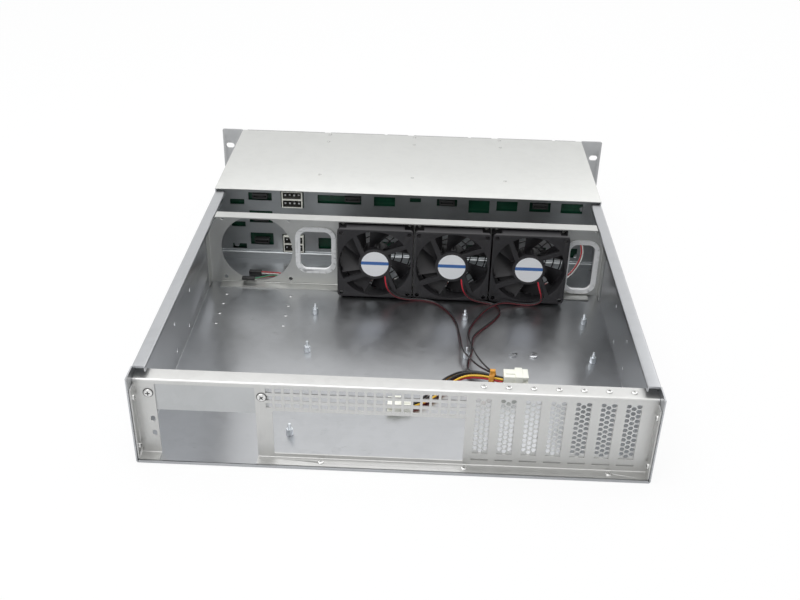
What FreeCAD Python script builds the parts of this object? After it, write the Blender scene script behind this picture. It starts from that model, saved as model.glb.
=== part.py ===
import FreeCAD, Part
import math
import os
from FreeCAD import Vector

# Two-unit rackmount server case, empty, with its rear cover off.
# Millimetres. +X is the right-hand side seen from the rear, +Y points to the front, +Z is up.
# Distances along Y are counted from the rear edge of the case, and the finished
# pieces are moved so that the origin is the middle of the footprint, at floor level.

os.makedirs("parts", exist_ok=True)

# ---- overall sizes -------------------------------------------------------------------
CASE_WIDTH = 430.0          # over the side walls
CASE_DEPTH = 548.0          # rear edge to the rear face of the rack ears
CASE_HEIGHT = 88.0          # underside to the top of the fixed cover
SHEET = 1.2                 # case steel
BEND = 0.8                  # inside radius of every fold
GAP = 0.3                   # clearance between pieces that must stay free
CLEAR = 0.2                 # clearance between pieces that are screwed together

# ---- side walls ----------------------------------------------------------------------
RAIL_TOP = CASE_HEIGHT - 3.0    # top of the inward flange that carries the rear cover
RAIL_WIDTH = 11.5
RAIL_LIP = 5.0
RAIL_REAR_CUT = 18.9        # the flange stops this far before the rear edge
HEM_DEPTH = 1.4             # folded edge of the floor at the rear

# ---- rear panel ----------------------------------------------------------------------
PANEL_Y = 12.0              # rear face of the panel
PANEL_HEIGHT = 77.0
PANEL_FOOT_Y = 1.8          # rear edge of its foot and side flanges
PANEL_SHELF = 15.0          # top flange, reaching forward
SLOT_COUNT = 7
SLOT_PITCH = 20.32
SLOT_WIDTH = 12.6
SLOT_BOTTOM = 14.6
SLOT_TOP = 71.0
SLOT_EDGE = 14.4            # right edge of the last slot to the outside of the case
SLOT_COVER_WIDTH = 18.4
SLOT_COVER_SHEET = 0.8
PERFORATION_PITCH = 4.9
PERFORATION_WEB = 1.1
PERFORATION_ROWS = 11
IO_WIDTH = 158.75
IO_HEIGHT = 44.45
IO_BOTTOM = 6.0
IO_TO_SLOTS = 7.5           # right edge of the opening to the left edge of the first slot
VENT_COLUMNS = 22
VENT_ROWS = 3
VENT_PITCH_X = 7.54
VENT_PITCH_Z = 7.35
VENT_HOLE_X = 5.4
VENT_HOLE_Z = 4.5
VENT_TOP_ROW = 70.6
PSU_LEFT = 19.0             # left edge of the power supply opening to the outside of the case
PSU_WIDTH = 82.0
PSU_TOP = 46.5
BRACKET_TOP = 73.0
BRACKET_LAP = 11.0

# ---- fans and fan wall ---------------------------------------------------------------
FAN_WALL_Y = 310.0          # front face of the wall
FAN_WALL_FLANGE = 13.5      # top, bottom and side flanges, reaching rearward
FAN_BAR_TOP = CASE_HEIGHT - 1.0
FAN_BAR_END = 13.5          # end of the top flange to the outside of the case
FAN_SIZE = 80.0
FAN_DEPTH = 25.0
FAN_PITCH = 81.7
FAN_CENTRE_Z = 43.6
FAN_HOLE_SPACING = 71.5
FAN_HOLE = 4.4
FAN_OPENING = 77.5
FAN_LAST_EDGE = 82.9        # centre of the last fan to the outside of the case
SPARE_EDGE = 54.0           # centre of the spare opening to the outside of the case
FAN_FRAME_FACE = 4.0        # square face plate of the frame
FAN_BORE = 76.6
FAN_HUB = 35.0
ROTOR_HUB = 33.0
ROTOR_TIP = 75.4
ROTOR_BLADES = 7
ROTOR_SHAFT = 3.0
STRUT_WIDTH = 5.0
STRUT_DEPTH = 3.2
STRUT_OFFSET = 8.0
STRUT_TILT = 22.0
GUARD_RINGS = (12.0, 20.5, 29.0, 37.0)
GUARD_WIRE = 1.5
GUARD_SIDES = 16

# ---- cable grommets in the fan wall --------------------------------------------------
GROMMET_LIP = 5.0
GROMMET_TALL = 10.0
GROMMET_LEFT_WIDTH = 34.0
GROMMET_LEFT_BOTTOM = 22.0
GROMMET_LEFT_TOP = 67.5
GROMMET_RIGHT_WIDTH = 26.5
GROMMET_RIGHT_BOTTOM = 8.8
GROMMET_RIGHT_TOP = 63.7
GROMMET_RIGHT_EDGE = 24.3   # middle of the right grommet to the outside of the case
GROMMET_CORNER = 8.0
GROMMET_TEETH = 24

# ---- drive cage and backplane --------------------------------------------------------
COVER_REAR_Y = 366.0        # rear edge of the fixed front cover
COVER_SHEET = 1.0
PLATE_Y = 371.0             # rear face of the backplane plate
PLATE_STEP = 4.5            # depth of the sill below the plate
PLATE_SILL = 8.9
BOARD_STANDOFF = 3.0
BOARD_THICKNESS = 1.6
BOARD_MARGIN = 11.0         # end of the board to the outside of the case
COLUMNS = 4
ROWS = 3
DIVIDER_SHEET = 1.0
DIVIDER_FLANGE = 9.0
RUNNER_WIDTH = 2.2
RUNNER_HEIGHT = 1.2
TRAY_CLEAR = 0.5
TRAY_WALL = 1.4
TRAY_SIDE = 18.0
TRAY_DEPTH = 164.0
BEZEL_DEPTH = 12.0
BEZEL_WALL = 2.0

# ---- rack ears -----------------------------------------------------------------------
EAR_SPAN = 482.6
EAR_SHEET = 2.0
EAR_FLANGE = 30.0
EAR_HOLE_SPAN = 465.1
EAR_HOLE_SPACING = 44.45
EAR_SLOT_LENGTH = 10.5
EAR_SLOT_WIDTH = 7.0
TRIM_WIDTH = 11.0
TRIM_DEPTH = 8.0
BUTTON_DIAMETER = 6.0
BUTTON_PROUD = 0.8
BUTTON_TRAVEL = 0.6
BUTTON_HEIGHT = 30.0

# ---- fasteners, studs and leads ------------------------------------------------------
SCREW_HEAD = 5.6
SCREW_HEAD_HEIGHT = 2.0
SCREW_SHANK = 2.8
STANDOFF_ACROSS = 5.5
STANDOFF_HEIGHT = 6.4
STANDOFF_BORE = 2.5         # drilled for the M3 screws of the main board
BOARD_HOLE_X = (0.0, 157.48, 281.94)
BOARD_HOLE_Y = (0.0, 154.94, 227.33)
BOARD_IO_HOLE = 22.86       # the rear left hole sits this far forward of its row
BOARD_FIRST_X = 123.4       # first column to the outside of the case
BOARD_FIRST_Y = 21.3
FAN_LEAD = 2.6
BUNDLE = 7.0
PANEL_LEAD = 3.6
PLUG_LENGTH = 23.0
PLUG_WIDTH = 20.5
PLUG_HEIGHT = 8.8

# ---- worked out from the sizes above -------------------------------------------------
TOTAL_DEPTH = CASE_DEPTH + BEZEL_DEPTH
HALF = CASE_WIDTH / 2
INNER = HALF - SHEET
FLOOR = SHEET
COVER_UNDER = CASE_HEIGHT - COVER_SHEET
SLOT_LAST_RIGHT = HALF - SLOT_EDGE
SLOT_LEFTS = [SLOT_LAST_RIGHT - SLOT_WIDTH - SLOT_PITCH * (SLOT_COUNT - 1 - i) for i in range(SLOT_COUNT)]
IO_RIGHT = SLOT_LEFTS[0] - IO_TO_SLOTS
PSU_X0 = -HALF + PSU_LEFT
PSU_X1 = PSU_X0 + PSU_WIDTH
PANEL_FRONT = PANEL_Y + SHEET
FAN_XS = [HALF - FAN_LAST_EDGE - FAN_PITCH * (2 - i) for i in range(3)]
SPARE_X = -HALF + SPARE_EDGE
WALL_REAR = FAN_WALL_Y - SHEET
FAN_REAR = WALL_REAR - FAN_DEPTH
FLANGE_REAR = FAN_WALL_Y - FAN_WALL_FLANGE
GROMMET_LEFT_X = (SPARE_X + FAN_OPENING / 2 + FAN_XS[0] - FAN_SIZE / 2) / 2
GROMMET_RIGHT_X = HALF - GROMMET_RIGHT_EDGE
BOARD_Y = PLATE_Y + SHEET + BOARD_STANDOFF
BOARD_FRONT = BOARD_Y + BOARD_THICKNESS
COLUMN_PITCH = 2 * INNER / COLUMNS
CAGE_REAR = BOARD_FRONT + GAP
BAY_BASE = FLOOR + DIVIDER_SHEET
ROW_PITCH = (COVER_UNDER - DIVIDER_SHEET - BAY_BASE) / ROWS
TRAY_REAR = CASE_DEPTH - TRAY_DEPTH


# ---- helpers -------------------------------------------------------------------------
def box(x0, x1, y0, y1, z0, z1):
    return Part.makeBox(x1 - x0, y1 - y0, z1 - z0, Vector(x0, y0, z0))


def rod(point, axis, diameter, length):
    return Part.makeCylinder(diameter / 2, length, Vector(*point), Vector(*axis))


def prism(points, along):
    wire = Part.makePolygon([Vector(*p) for p in points] + [Vector(*points[0])])
    return Part.Face(wire).extrude(Vector(*along))


def ngon_prism(start, across, sides, depth, axis=(0, 1, 0), turn=0.0):
    """Regular prism from start along an axis, measured across its flats."""
    radius = across / 2 / math.cos(math.pi / sides)
    points = []
    for i in range(sides):
        angle = math.radians(turn) + 2 * math.pi * i / sides
        points.append((radius * math.cos(angle), 0, radius * math.sin(angle)))
    solid = prism(points, (0, depth, 0))
    solid.Placement = FreeCAD.Placement(Vector(*start), FreeCAD.Rotation(Vector(0, 1, 0), Vector(*axis)))
    return solid


def rounded_block(x0, x1, z0, z1, corner, y0, y1):
    """Block along Y whose outline in XZ has round corners."""
    solid = box(x0, x1, y0, y1, z0, z1)
    edges = [e for e in solid.Edges if abs(abs(e.tangentAt(e.FirstParameter).y) - 1) < 1e-6]
    return solid.makeFillet(corner, edges)


def obround(centre, length, width, along, depth):
    """Slot-shaped tool through an XZ wall; along is the direction of its length, 'x' or 'z'."""
    x, y, z = centre
    reach = (length - width) / 2
    if along == "x":
        body = box(x - reach, x + reach, y, y + depth, z - width / 2, z + width / 2)
        ends = [(x - reach, y, z), (x + reach, y, z)]
    else:
        body = box(x - width / 2, x + width / 2, y, y + depth, z - reach, z + reach)
        ends = [(x, y, z - reach), (x, y, z + reach)]
    return body.fuse([rod(end, (0, 1, 0), width, depth) for end in ends]).removeSplitter()


def folded_outline(points, thickness, place):
    """Outline of sheet folded along an open middle line; place() turns (u, v) into a Vector."""
    half = thickness / 2
    directions = []
    for (u0, v0), (u1, v1) in zip(points, points[1:]):
        length = math.hypot(u1 - u0, v1 - v0)
        directions.append(((u1 - u0) / length, (v1 - v0) / length))
    sides = []
    for side in (1, -1):
        pieces = []
        d = directions[0]
        last = (points[0][0] - side * half * d[1], points[0][1] + side * half * d[0])
        start = last
        for i in range(1, len(points) - 1):
            a, b = directions[i - 1], directions[i]
            cross = a[0] * b[1] - a[1] * b[0]
            dot = a[0] * b[0] + a[1] * b[1]
            inner = side * cross > 0
            radius = BEND if inner else BEND + thickness
            na, nb = (-a[1], a[0]), (-b[1], b[0])
            share = side * half / (1 + dot)
            corner = (points[i][0] + share * (na[0] + nb[0]), points[i][1] + share * (na[1] + nb[1]))
            reach = radius * math.tan(math.acos(max(-1.0, min(1.0, dot))) / 2)
            first = (corner[0] - reach * a[0], corner[1] - reach * a[1])
            second = (corner[0] + reach * b[0], corner[1] + reach * b[1])
            sign = 1 if cross > 0 else -1
            centre = (first[0] + sign * radius * na[0], first[1] + sign * radius * na[1])
            out = (na[0] + nb[0], na[1] + nb[1])
            size = math.hypot(*out)
            middle = (centre[0] - sign * radius * out[0] / size, centre[1] - sign * radius * out[1] / size)
            pieces.append(Part.LineSegment(place(*last), place(*first)).toShape())
            pieces.append(Part.Arc(place(*first), place(*middle), place(*second)).toShape())
            last = second
        d = directions[-1]
        end = (points[-1][0] - side * half * d[1], points[-1][1] + side * half * d[0])
        pieces.append(Part.LineSegment(place(*last), place(*end)).toShape())
        sides.append((start, end, pieces))
    caps = [Part.LineSegment(place(*sides[0][k]), place(*sides[1][k])).toShape() for k in (0, 1)]
    edges = sides[0][2] + [caps[1]] + sides[1][2] + [caps[0]]
    return Part.Face(Part.Wire(Part.__sortEdges__(edges)))


def folded_along_y(points, y0, y1, thickness=SHEET):
    return folded_outline(points, thickness, lambda u, v: Vector(u, y0, v)).extrude(Vector(0, y1 - y0, 0))


def folded_along_x(points, x0, x1, thickness=SHEET):
    return folded_outline(points, thickness, lambda u, v: Vector(x0, u, v)).extrude(Vector(x1 - x0, 0, 0))


def folded_along_z(points, z0, z1, thickness=SHEET):
    return folded_outline(points, thickness, lambda u, v: Vector(u, v, z0)).extrude(Vector(0, 0, z1 - z0))


def cut_all(solid, tools):
    return solid.cut(Part.makeCompound(tools))


def corner_relief(half, y0, y1):
    """Keeps the feet of a cross wall out of the rounded folds between floor and side walls."""
    reach = 2 * BEND
    return [box(-half - 1, -half + reach, y0, y1, FLOOR - 1, FLOOR + BEND),
            box(half - reach, half + 1, y0, y1, FLOOR - 1, FLOOR + BEND)]


def join(first, others):
    return first.fuse(others).removeSplitter()


def save(name, shape):
    moved = shape.copy()
    moved.translate(Vector(0, -TOTAL_DEPTH / 2, 0))
    moved.exportStep("parts/" + name + ".step")


# ---- case ----------------------------------------------------------------------------
def case_section(wall_top):
    middle = HALF - SHEET / 2
    return [(-middle, wall_top), (-middle, SHEET / 2), (middle, SHEET / 2), (middle, wall_top)]


def railed_section():
    middle = HALF - SHEET / 2
    lip = HALF - RAIL_WIDTH + SHEET / 2
    top = RAIL_TOP - SHEET / 2
    foot = RAIL_TOP - RAIL_LIP
    return [(-lip, foot), (-lip, top), (-middle, top), (-middle, SHEET / 2),
            (middle, SHEET / 2), (middle, top), (lip, top), (lip, foot)]


RAIL_HOLES = ((150.0, 44.0), (215.0, 44.0), (150.0, 13.5), (202.0, 10.0))
FLOOR_HOLE_EDGES = (23.5, 93.0)          # columns of holes, to the outside of the case
FLOOR_HOLE_ROWS = (222.0, 242.0, 262.0, 282.0)
BOSS_EDGES = (103.0, 82.3)
BOSS_Y = 183.6
BOSS_DIAMETER = 9.0
BOSS_RISE = 1.4
BOSS_HOLE = 3.6


def chassis_tray():
    rear = folded_along_y(case_section(RAIL_TOP), 0, RAIL_REAR_CUT)
    middle = folded_along_y(railed_section(), RAIL_REAR_CUT, COVER_REAR_Y)
    front = folded_along_y(case_section(COVER_UNDER), COVER_REAR_Y, CASE_DEPTH)
    hem = box(-HALF + BEND + SHEET, HALF - BEND - SHEET, 0, HEM_DEPTH, FLOOR, 2 * SHEET)
    additions = [middle, front, hem]
    for edge in BOSS_EDGES:
        additions.append(rod((HALF - edge, BOSS_Y, FLOOR), (0, 0, 1), BOSS_DIAMETER, BOSS_RISE))
    for side in (-1, 1):
        for row in range(ROWS):
            base = BAY_BASE + ROW_PITCH * row
            x = side * INNER
            x0, x1 = sorted((x, x - side * RUNNER_WIDTH))
            additions.append(box(x0, x1, CAGE_REAR, CASE_DEPTH, base, base + RUNNER_HEIGHT))
    solid = join(rear, additions)
    holes = []
    for side in (-1, 1):
        for y, z in RAIL_HOLES:
            holes.append(ngon_prism((side * (HALF + 1), y, z), 4.0, 8, SHEET + 2, (-side, 0, 0)))
    for edge in FLOOR_HOLE_EDGES:
        for y in FLOOR_HOLE_ROWS:
            holes.append(ngon_prism((-HALF + edge, y, -1), 3.4, 8, SHEET + 2, (0, 0, 1)))
    for edge in BOSS_EDGES:
        holes.append(ngon_prism((HALF - edge, BOSS_Y, -1), BOSS_HOLE, 8, SHEET + BOSS_RISE + 2, (0, 0, 1)))
    return cut_all(solid, holes)


# ---- rear panel and what it carries --------------------------------------------------
TIP_SLOT_Z = 7.6
TIP_SLOT_HEIGHT = 1.6
BRACKET_SCREW_Z = 64.0
OVAL_HEIGHTS = (37.5, 22.8)
OVAL_EDGE = 15.0            # middle of the oval holes to the outside of the case
FOOT_SCREW_Y = 7.0
FOOT_SCREW_XS = (-181.0, -60.5, 59.8, 181.0)
SIDE_SCREW_ZS = (62.5, 13.0)
SHELF_SCREW_Y = 20.5


def rear_panel():
    foot = FLOOR + SHEET / 2
    shelf = PANEL_HEIGHT - SHEET / 2
    middle = PANEL_Y + SHEET / 2
    half = INNER - CLEAR
    sheet = folded_along_x([(PANEL_FOOT_Y, foot), (middle, foot), (middle, shelf), (middle + PANEL_SHELF, shelf)],
                           -half, half)
    flanges = []
    for side in (-1, 1):
        x0, x1 = sorted((side * half, side * (half - SHEET)))
        flanges.append(box(x0, x1, PANEL_FOOT_Y, PANEL_Y + SHEET / 2, FLOOR + SHEET, PANEL_HEIGHT - 4))
    solid = join(sheet, flanges)
    tools = [box(PSU_X0, PSU_X1, -1, PANEL_FRONT + 1, FLOOR - 1, BRACKET_TOP)]
    tools.append(box(IO_RIGHT - IO_WIDTH, IO_RIGHT, PANEL_Y - 1, PANEL_FRONT + 1, IO_BOTTOM, IO_BOTTOM + IO_HEIGHT))
    for left in SLOT_LEFTS:
        tools.append(box(left, left + SLOT_WIDTH, PANEL_Y - 1, PANEL_FRONT + 1, SLOT_BOTTOM, SLOT_TOP))
        tools.append(box(left - 1, left + SLOT_WIDTH + 1, PANEL_Y - 1, PANEL_FRONT + 1,
                         TIP_SLOT_Z, TIP_SLOT_Z + TIP_SLOT_HEIGHT))
    for column in range(VENT_COLUMNS):
        x = IO_RIGHT - VENT_HOLE_X / 2 - VENT_PITCH_X * column
        for row in range(VENT_ROWS):
            z = VENT_TOP_ROW - VENT_PITCH_Z * row
            tools.append(box(x - VENT_HOLE_X / 2, x + VENT_HOLE_X / 2, PANEL_Y - 1, PANEL_FRONT + 1,
                             z - VENT_HOLE_Z / 2, z + VENT_HOLE_Z / 2))
    for z in OVAL_HEIGHTS:
        tools.append(obround((-HALF + OVAL_EDGE, PANEL_Y - 1, z), 6.0, 4.0, "z", SHEET + 2))
    tools += corner_relief(half, -1, PANEL_FRONT + 1)
    tools += screw_holes(panel_screws())
    return cut_all(solid, tools)


def psu_bracket():
    middle = PANEL_FRONT + SHEET / 2
    top = BRACKET_TOP + 1.6 - SHEET / 2
    solid = folded_along_x([(middle, PSU_TOP), (middle, top), (middle + 9, top)],
                           PSU_X0 - BRACKET_LAP, PSU_X1 + BRACKET_LAP)
    return cut_all(solid, screw_holes(panel_screws()))


def slot_cover(left):
    """Perforated blanking cover, hung behind its slot and folded under the panel's shelf."""
    centre = left + SLOT_WIDTH / 2
    middle = PANEL_FRONT + SLOT_COVER_SHEET / 2
    top = PANEL_HEIGHT - SHEET - SLOT_COVER_SHEET / 2
    solid = folded_along_x([(middle, TIP_SLOT_Z - 3), (middle, top), (middle + 11, top)],
                           centre - SLOT_COVER_WIDTH / 2, centre + SLOT_COVER_WIDTH / 2, SLOT_COVER_SHEET)
    column_pitch = PERFORATION_PITCH * math.sqrt(3) / 2
    across = PERFORATION_PITCH - PERFORATION_WEB
    start = (SLOT_BOTTOM + SLOT_TOP - PERFORATION_PITCH * (PERFORATION_ROWS - 0.5)) / 2
    holes = []
    for column in (-1, 0, 1):
        shift = 0 if column == 0 else PERFORATION_PITCH / 2
        for row in range(PERFORATION_ROWS):
            at = (centre + column * column_pitch, PANEL_FRONT - 1, start + shift + PERFORATION_PITCH * row)
            holes.append(ngon_prism(at, across, 6, SLOT_COVER_SHEET + 2))
    holes += screw_holes(panel_screws())
    return cut_all(solid, holes)


# ---- screws --------------------------------------------------------------------------
# A screw is (point under its head, direction of its shank, grip length).
def panel_screws():
    screws = []
    for x in (PSU_X0 - BRACKET_LAP / 2, PSU_X1 + BRACKET_LAP / 2):
        screws.append(((x, PANEL_Y, BRACKET_SCREW_Z), (0, 1, 0), 2 * SHEET))
    for left in SLOT_LEFTS:
        screws.append(((left + SLOT_WIDTH / 2, SHELF_SCREW_Y, PANEL_HEIGHT), (0, 0, -1), SHEET + SLOT_COVER_SHEET))
    for x in FOOT_SCREW_XS:
        if not PSU_X0 - SCREW_HEAD < x < PSU_X1 + SCREW_HEAD:
            screws.append(((x, FOOT_SCREW_Y, FLOOR + SHEET), (0, 0, -1), SHEET - CLEAR))
    for side in (-1, 1):
        for z in SIDE_SCREW_ZS:
            screws.append(((side * (INNER - CLEAR - SHEET), FOOT_SCREW_Y, z), (side, 0, 0), SHEET + CLEAR))
    return screws


def screw_holes(screws):
    holes = []
    for point, axis, grip in screws:
        start = [p - a for p, a in zip(point, axis)]
        holes.append(rod(start, axis, SCREW_SHANK + 2 * CLEAR, grip + 1))
    return holes


def screw(point, axis, grip):
    """Round head on a plain shank."""
    top = [p - SCREW_HEAD_HEIGHT * a for p, a in zip(point, axis)]
    head = ngon_prism(top, SCREW_HEAD, 12, SCREW_HEAD_HEIGHT, axis)
    return head.fuse(ngon_prism(top, SCREW_SHANK, 8, SCREW_HEAD_HEIGHT + grip, axis))


# ---- fan wall ------------------------------------------------------------------------
def grommet_sizes():
    left = (GROMMET_LEFT_X, GROMMET_LEFT_WIDTH, GROMMET_LEFT_BOTTOM, GROMMET_LEFT_TOP)
    right = (GROMMET_RIGHT_X, GROMMET_RIGHT_WIDTH, GROMMET_RIGHT_BOTTOM, GROMMET_RIGHT_TOP)
    return {"cable_grommet_left": left, "cable_grommet_right": right}


GROMMET_WALL = 1.5


def grommet_block(sizes, grow, y0, y1):
    x, width, bottom, top = sizes
    return rounded_block(x - width / 2 - grow, x + width / 2 + grow, bottom - grow, top + grow,
                         GROMMET_CORNER + grow, y0, y1)


def fan_corners(x, y):
    """The four fixing holes of a fan."""
    reach = FAN_HOLE_SPACING / 2
    return [(x + dx * reach, y, FAN_CENTRE_Z + dz * reach) for dx in (-1, 1) for dz in (-1, 1)]


def fan_wall():
    middle = FAN_WALL_Y - SHEET / 2
    half = INNER - CLEAR
    foot = FLOOR + SHEET / 2
    bar = FAN_BAR_TOP - SHEET / 2
    bar_half = HALF - FAN_BAR_END
    solid = folded_along_x([(FLANGE_REAR, foot), (middle, foot), (middle, bar), (FLANGE_REAR - 1, bar)],
                           -bar_half, bar_half)
    parts = []
    shoulder = RAIL_TOP - RAIL_LIP - 2
    for side in (-1, 1):
        x = side * (half - SHEET / 2)
        wing = folded_along_z([(side * (bar_half - 1), middle), (x, middle), (x, FLANGE_REAR)], FLOOR + 0.1, shoulder)
        parts.append(wing)
    solid = join(solid, parts)
    tools = corner_relief(half, FLANGE_REAR - 2, FAN_WALL_Y + 1)
    for x in FAN_XS + [SPARE_X]:
        tools.append(rod((x, WALL_REAR - 1, FAN_CENTRE_Z), (0, 1, 0), FAN_OPENING, SHEET + 2))
        for at in fan_corners(x, WALL_REAR - 1):
            tools.append(rod(at, (0, 1, 0), FAN_HOLE, SHEET + 2))
    for sizes in grommet_sizes().values():
        tools.append(grommet_block(sizes, GROMMET_WALL, WALL_REAR - 1, FAN_WALL_Y + 1))
    return cut_all(solid, tools)


def cable_grommet(sizes):
    """Moulded edge liner: a lip on the rear of the wall, ribbed by teeth, and a thin sleeve through it."""
    lip = grommet_block(sizes, GROMMET_LIP, WALL_REAR - 1.6, WALL_REAR)
    sleeve = grommet_block(sizes, GROMMET_WALL - CLEAR, WALL_REAR - 1.6, FAN_WALL_Y + 1.2)
    solid = lip.fuse(sleeve).cut(grommet_block(sizes, 0, WALL_REAR - 3, FAN_WALL_Y + 3))
    x, width, bottom, top = sizes
    centre = (bottom + top) / 2
    notches = []
    for i in range(GROMMET_TEETH):
        angle = 2 * math.pi * (i + 0.5) / GROMMET_TEETH
        notch = box(0, 60, -0.5, 0.5, -0.45, 0.45)
        notch.rotate(Vector(0, 0, 0), Vector(0, 1, 0), -math.degrees(angle))
        notch.translate(Vector(x, WALL_REAR - 1.6, centre))
        notches.append(notch)
    inner = grommet_block(sizes, GROMMET_LIP - 2.4, WALL_REAR - 3, FAN_WALL_Y)
    return solid.cut(Part.makeCompound(notches).cut(inner))


# ---- fans ----------------------------------------------------------------------------
HUB_DEPTH = 3.6
BEARING_GAP = 0.3


def fan_frame(x):
    y0 = FAN_REAR
    z = FAN_CENTRE_Z
    half = FAN_SIZE / 2
    solid = rounded_block(x - half, x + half, z - half, z + half, 4.0, y0, y0 + FAN_DEPTH)
    pockets = []
    waist = half - 9.5
    for dx in (-1, 1):
        for dz in (-1, 1):
            x0, x1 = sorted((x + dx * waist, x + dx * (half + 1)))
            z0, z1 = sorted((z + dz * waist, z + dz * (half + 1)))
            pockets.append(box(x0, x1, y0 + FAN_FRAME_FACE, y0 + FAN_DEPTH - FAN_FRAME_FACE, z0, z1))
    ring = rod((x, y0, z), (0, 1, 0), FAN_BORE + 3.0, FAN_DEPTH)
    solid = solid.cut(Part.makeCompound(pockets)).fuse(ring)
    solid = solid.cut(rod((x, y0 - 1, z), (0, 1, 0), FAN_BORE, FAN_DEPTH + 2))
    hub = rod((x, y0, z), (0, 1, 0), FAN_HUB, HUB_DEPTH)
    struts = []
    for i in range(4):
        strut = box(FAN_HUB / 2 - 9, FAN_BORE / 2 + 0.8, y0, y0 + STRUT_DEPTH,
                    STRUT_OFFSET - STRUT_WIDTH / 2, STRUT_OFFSET + STRUT_WIDTH / 2)
        strut.rotate(Vector(0, 0, 0), Vector(0, 1, 0), -(STRUT_TILT + 90 * i))
        strut.translate(Vector(x, 0, z))
        struts.append(strut)
    solid = solid.fuse([hub] + struts).removeSplitter()
    tools = [ngon_prism(at, FAN_HOLE, 8, FAN_DEPTH + 2, turn=22.5) for at in fan_corners(x, y0 - 1)]
    tools.append(rod((x, y0 + 0.8, z), (0, 1, 0), ROTOR_SHAFT + 2 * BEARING_GAP, HUB_DEPTH))
    return cut_all(solid, tools)


def blade_section(radius, turn, span, rise, y0):
    """Four-cornered blade section at one radius, seen along the radius."""
    half_thick = 0.7
    points = []
    for along, across in ((-1, -1), (1, -1), (1, 1), (-1, 1)):
        angle = math.radians(turn + along * span / 2)
        y = y0 + rise / 2 + along * rise / 2 + across * half_thick
        points.append(Vector(radius * math.sin(angle), y, radius * math.cos(angle)))
    return Part.makePolygon(points + [points[0]])


def fan_rotor(x):
    y0 = FAN_REAR + HUB_DEPTH + 0.5
    hub = rod((0, y0, 0), (0, 1, 0), ROTOR_HUB, 18.5)
    shaft = rod((0, FAN_REAR + 1.2, 0), (0, 1, 0), ROTOR_SHAFT, HUB_DEPTH)
    blades = []
    for i in range(ROTOR_BLADES):
        turn = 360.0 * i / ROTOR_BLADES
        sections = [blade_section(14.5, turn - 10, 34, 13.0, y0 + 2.5),
                    blade_section(43.0, turn + 14, 42, 15.0, y0 + 1.2)]
        blades.append(Part.makeLoft(sections, True, True))
    sweep = rod((0, y0 + 0.4, 0), (0, 1, 0), ROTOR_TIP, 17.8)
    trimmed = Part.makeCompound(blades).common(sweep)
    solid = hub.fuse([shaft] + trimmed.Solids).removeSplitter()
    solid.translate(Vector(x, 0, FAN_CENTRE_Z))
    return solid


def fan_guard(x):
    """Wire guard on the front of the wall: rings on four arms that end in screw eyes."""
    y0 = FAN_WALL_Y
    rings = []
    for radius in GUARD_RINGS:
        outer = ngon_prism((x, y0, FAN_CENTRE_Z), 2 * radius + GUARD_WIRE, GUARD_SIDES, GUARD_WIRE)
        inner = ngon_prism((x, y0, FAN_CENTRE_Z), 2 * radius - GUARD_WIRE, GUARD_SIDES, GUARD_WIRE)
        rings.append(outer.cut(inner))
    reach = FAN_HOLE_SPACING / math.sqrt(2)
    for i in range(4):
        arm = box(GUARD_RINGS[0], reach, y0, y0 + GUARD_WIRE, -GUARD_WIRE / 2, GUARD_WIRE / 2)
        arm.rotate(Vector(0, 0, 0), Vector(0, 1, 0), 45 + 90 * i)
        arm.translate(Vector(x, 0, FAN_CENTRE_Z))
        rings.append(arm)
    eyes = [ngon_prism(at, SCREW_HEAD + 1, 8, GUARD_WIRE, turn=22.5) for at in fan_corners(x, y0)]
    holes = [ngon_prism(at, FAN_HOLE, 8, GUARD_WIRE, turn=22.5) for at in fan_corners(x, y0)]
    return cut_all(join(rings[0], rings[1:] + eyes), holes)


# ---- cover, backplane and drive cage -------------------------------------------------
def front_cover():
    return box(-HALF, HALF, COVER_REAR_Y, CASE_DEPTH, COVER_UNDER, CASE_HEIGHT)


def cage_divider(k):
    """C-section between two columns of bays, with pressed runners for the trays on both faces."""
    x = -INNER + COLUMN_PITCH * k
    low = FLOOR + DIVIDER_SHEET / 2
    high = COVER_UNDER - DIVIDER_SHEET / 2
    tip = x + DIVIDER_FLANGE
    y1 = CASE_DEPTH - 1
    solid = folded_along_y([(tip, low), (x, low), (x, high), (tip, high)], CAGE_REAR, y1, DIVIDER_SHEET)
    runners = []
    for side in (-1, 1):
        for row in range(ROWS):
            base = BAY_BASE + ROW_PITCH * row
            x0, x1 = sorted((x + side * 0.2, x + side * (DIVIDER_SHEET / 2 + RUNNER_WIDTH)))
            runners.append(box(x0, x1, CAGE_REAR, y1, base, base + RUNNER_HEIGHT))
    return join(solid, runners)


# Cutouts of the backplane plate: left edge, right edge, bottom and top above a row's floor,
# and the rows, counted from below, that have one. Left and right are from the case's middle.
OPEN_TOP = 40.0             # runs out of the plate's top edge
CUTOUTS = (
    (-200.1, -184.0, 8.8, 15.2, (0, 1, 2)),
    (-179.0, -152.6, 14.6, 29.6, (0, 1)),
    (-179.0, -152.6, 14.6, 24.0, (2,)),
    (-142.4, -116.6, 6.8, 29.0, (0,)),
    (-142.4, -116.6, 6.8, OPEN_TOP, (2,)),
    (-101.0, -78.0, 11.7, 26.0, (0, 1)),
    (-71.6, -51.8, 14.6, 26.0, (0, 1)),
    (-101.0, -51.8, 13.5, 24.0, (2,)),
    (-37.7, -13.9, 12.5, 24.0, (0, 1, 2)),
    (2.7, 15.1, 19.0, 24.0, (0, 1, 2)),
    (32.9, 55.7, 15.5, 24.0, (0, 1, 2)),
    (68.6, 92.0, 8.5, 24.0, (0, 1, 2)),
    (99.8, 123.2, 12.0, 24.0, (0, 1, 2)),
    (136.6, 160.1, 12.5, 24.0, (0, 1, 2)),
    (171.8, 196.0, 12.0, 24.0, (0, 1, 2)),
)
SATA_XS = (-165.8, -61.7, 44.3, 148.3)
SATA_WIDTH = 17.0
SATA_Z = 17.5               # bottom of a socket above its row's floor
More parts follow.
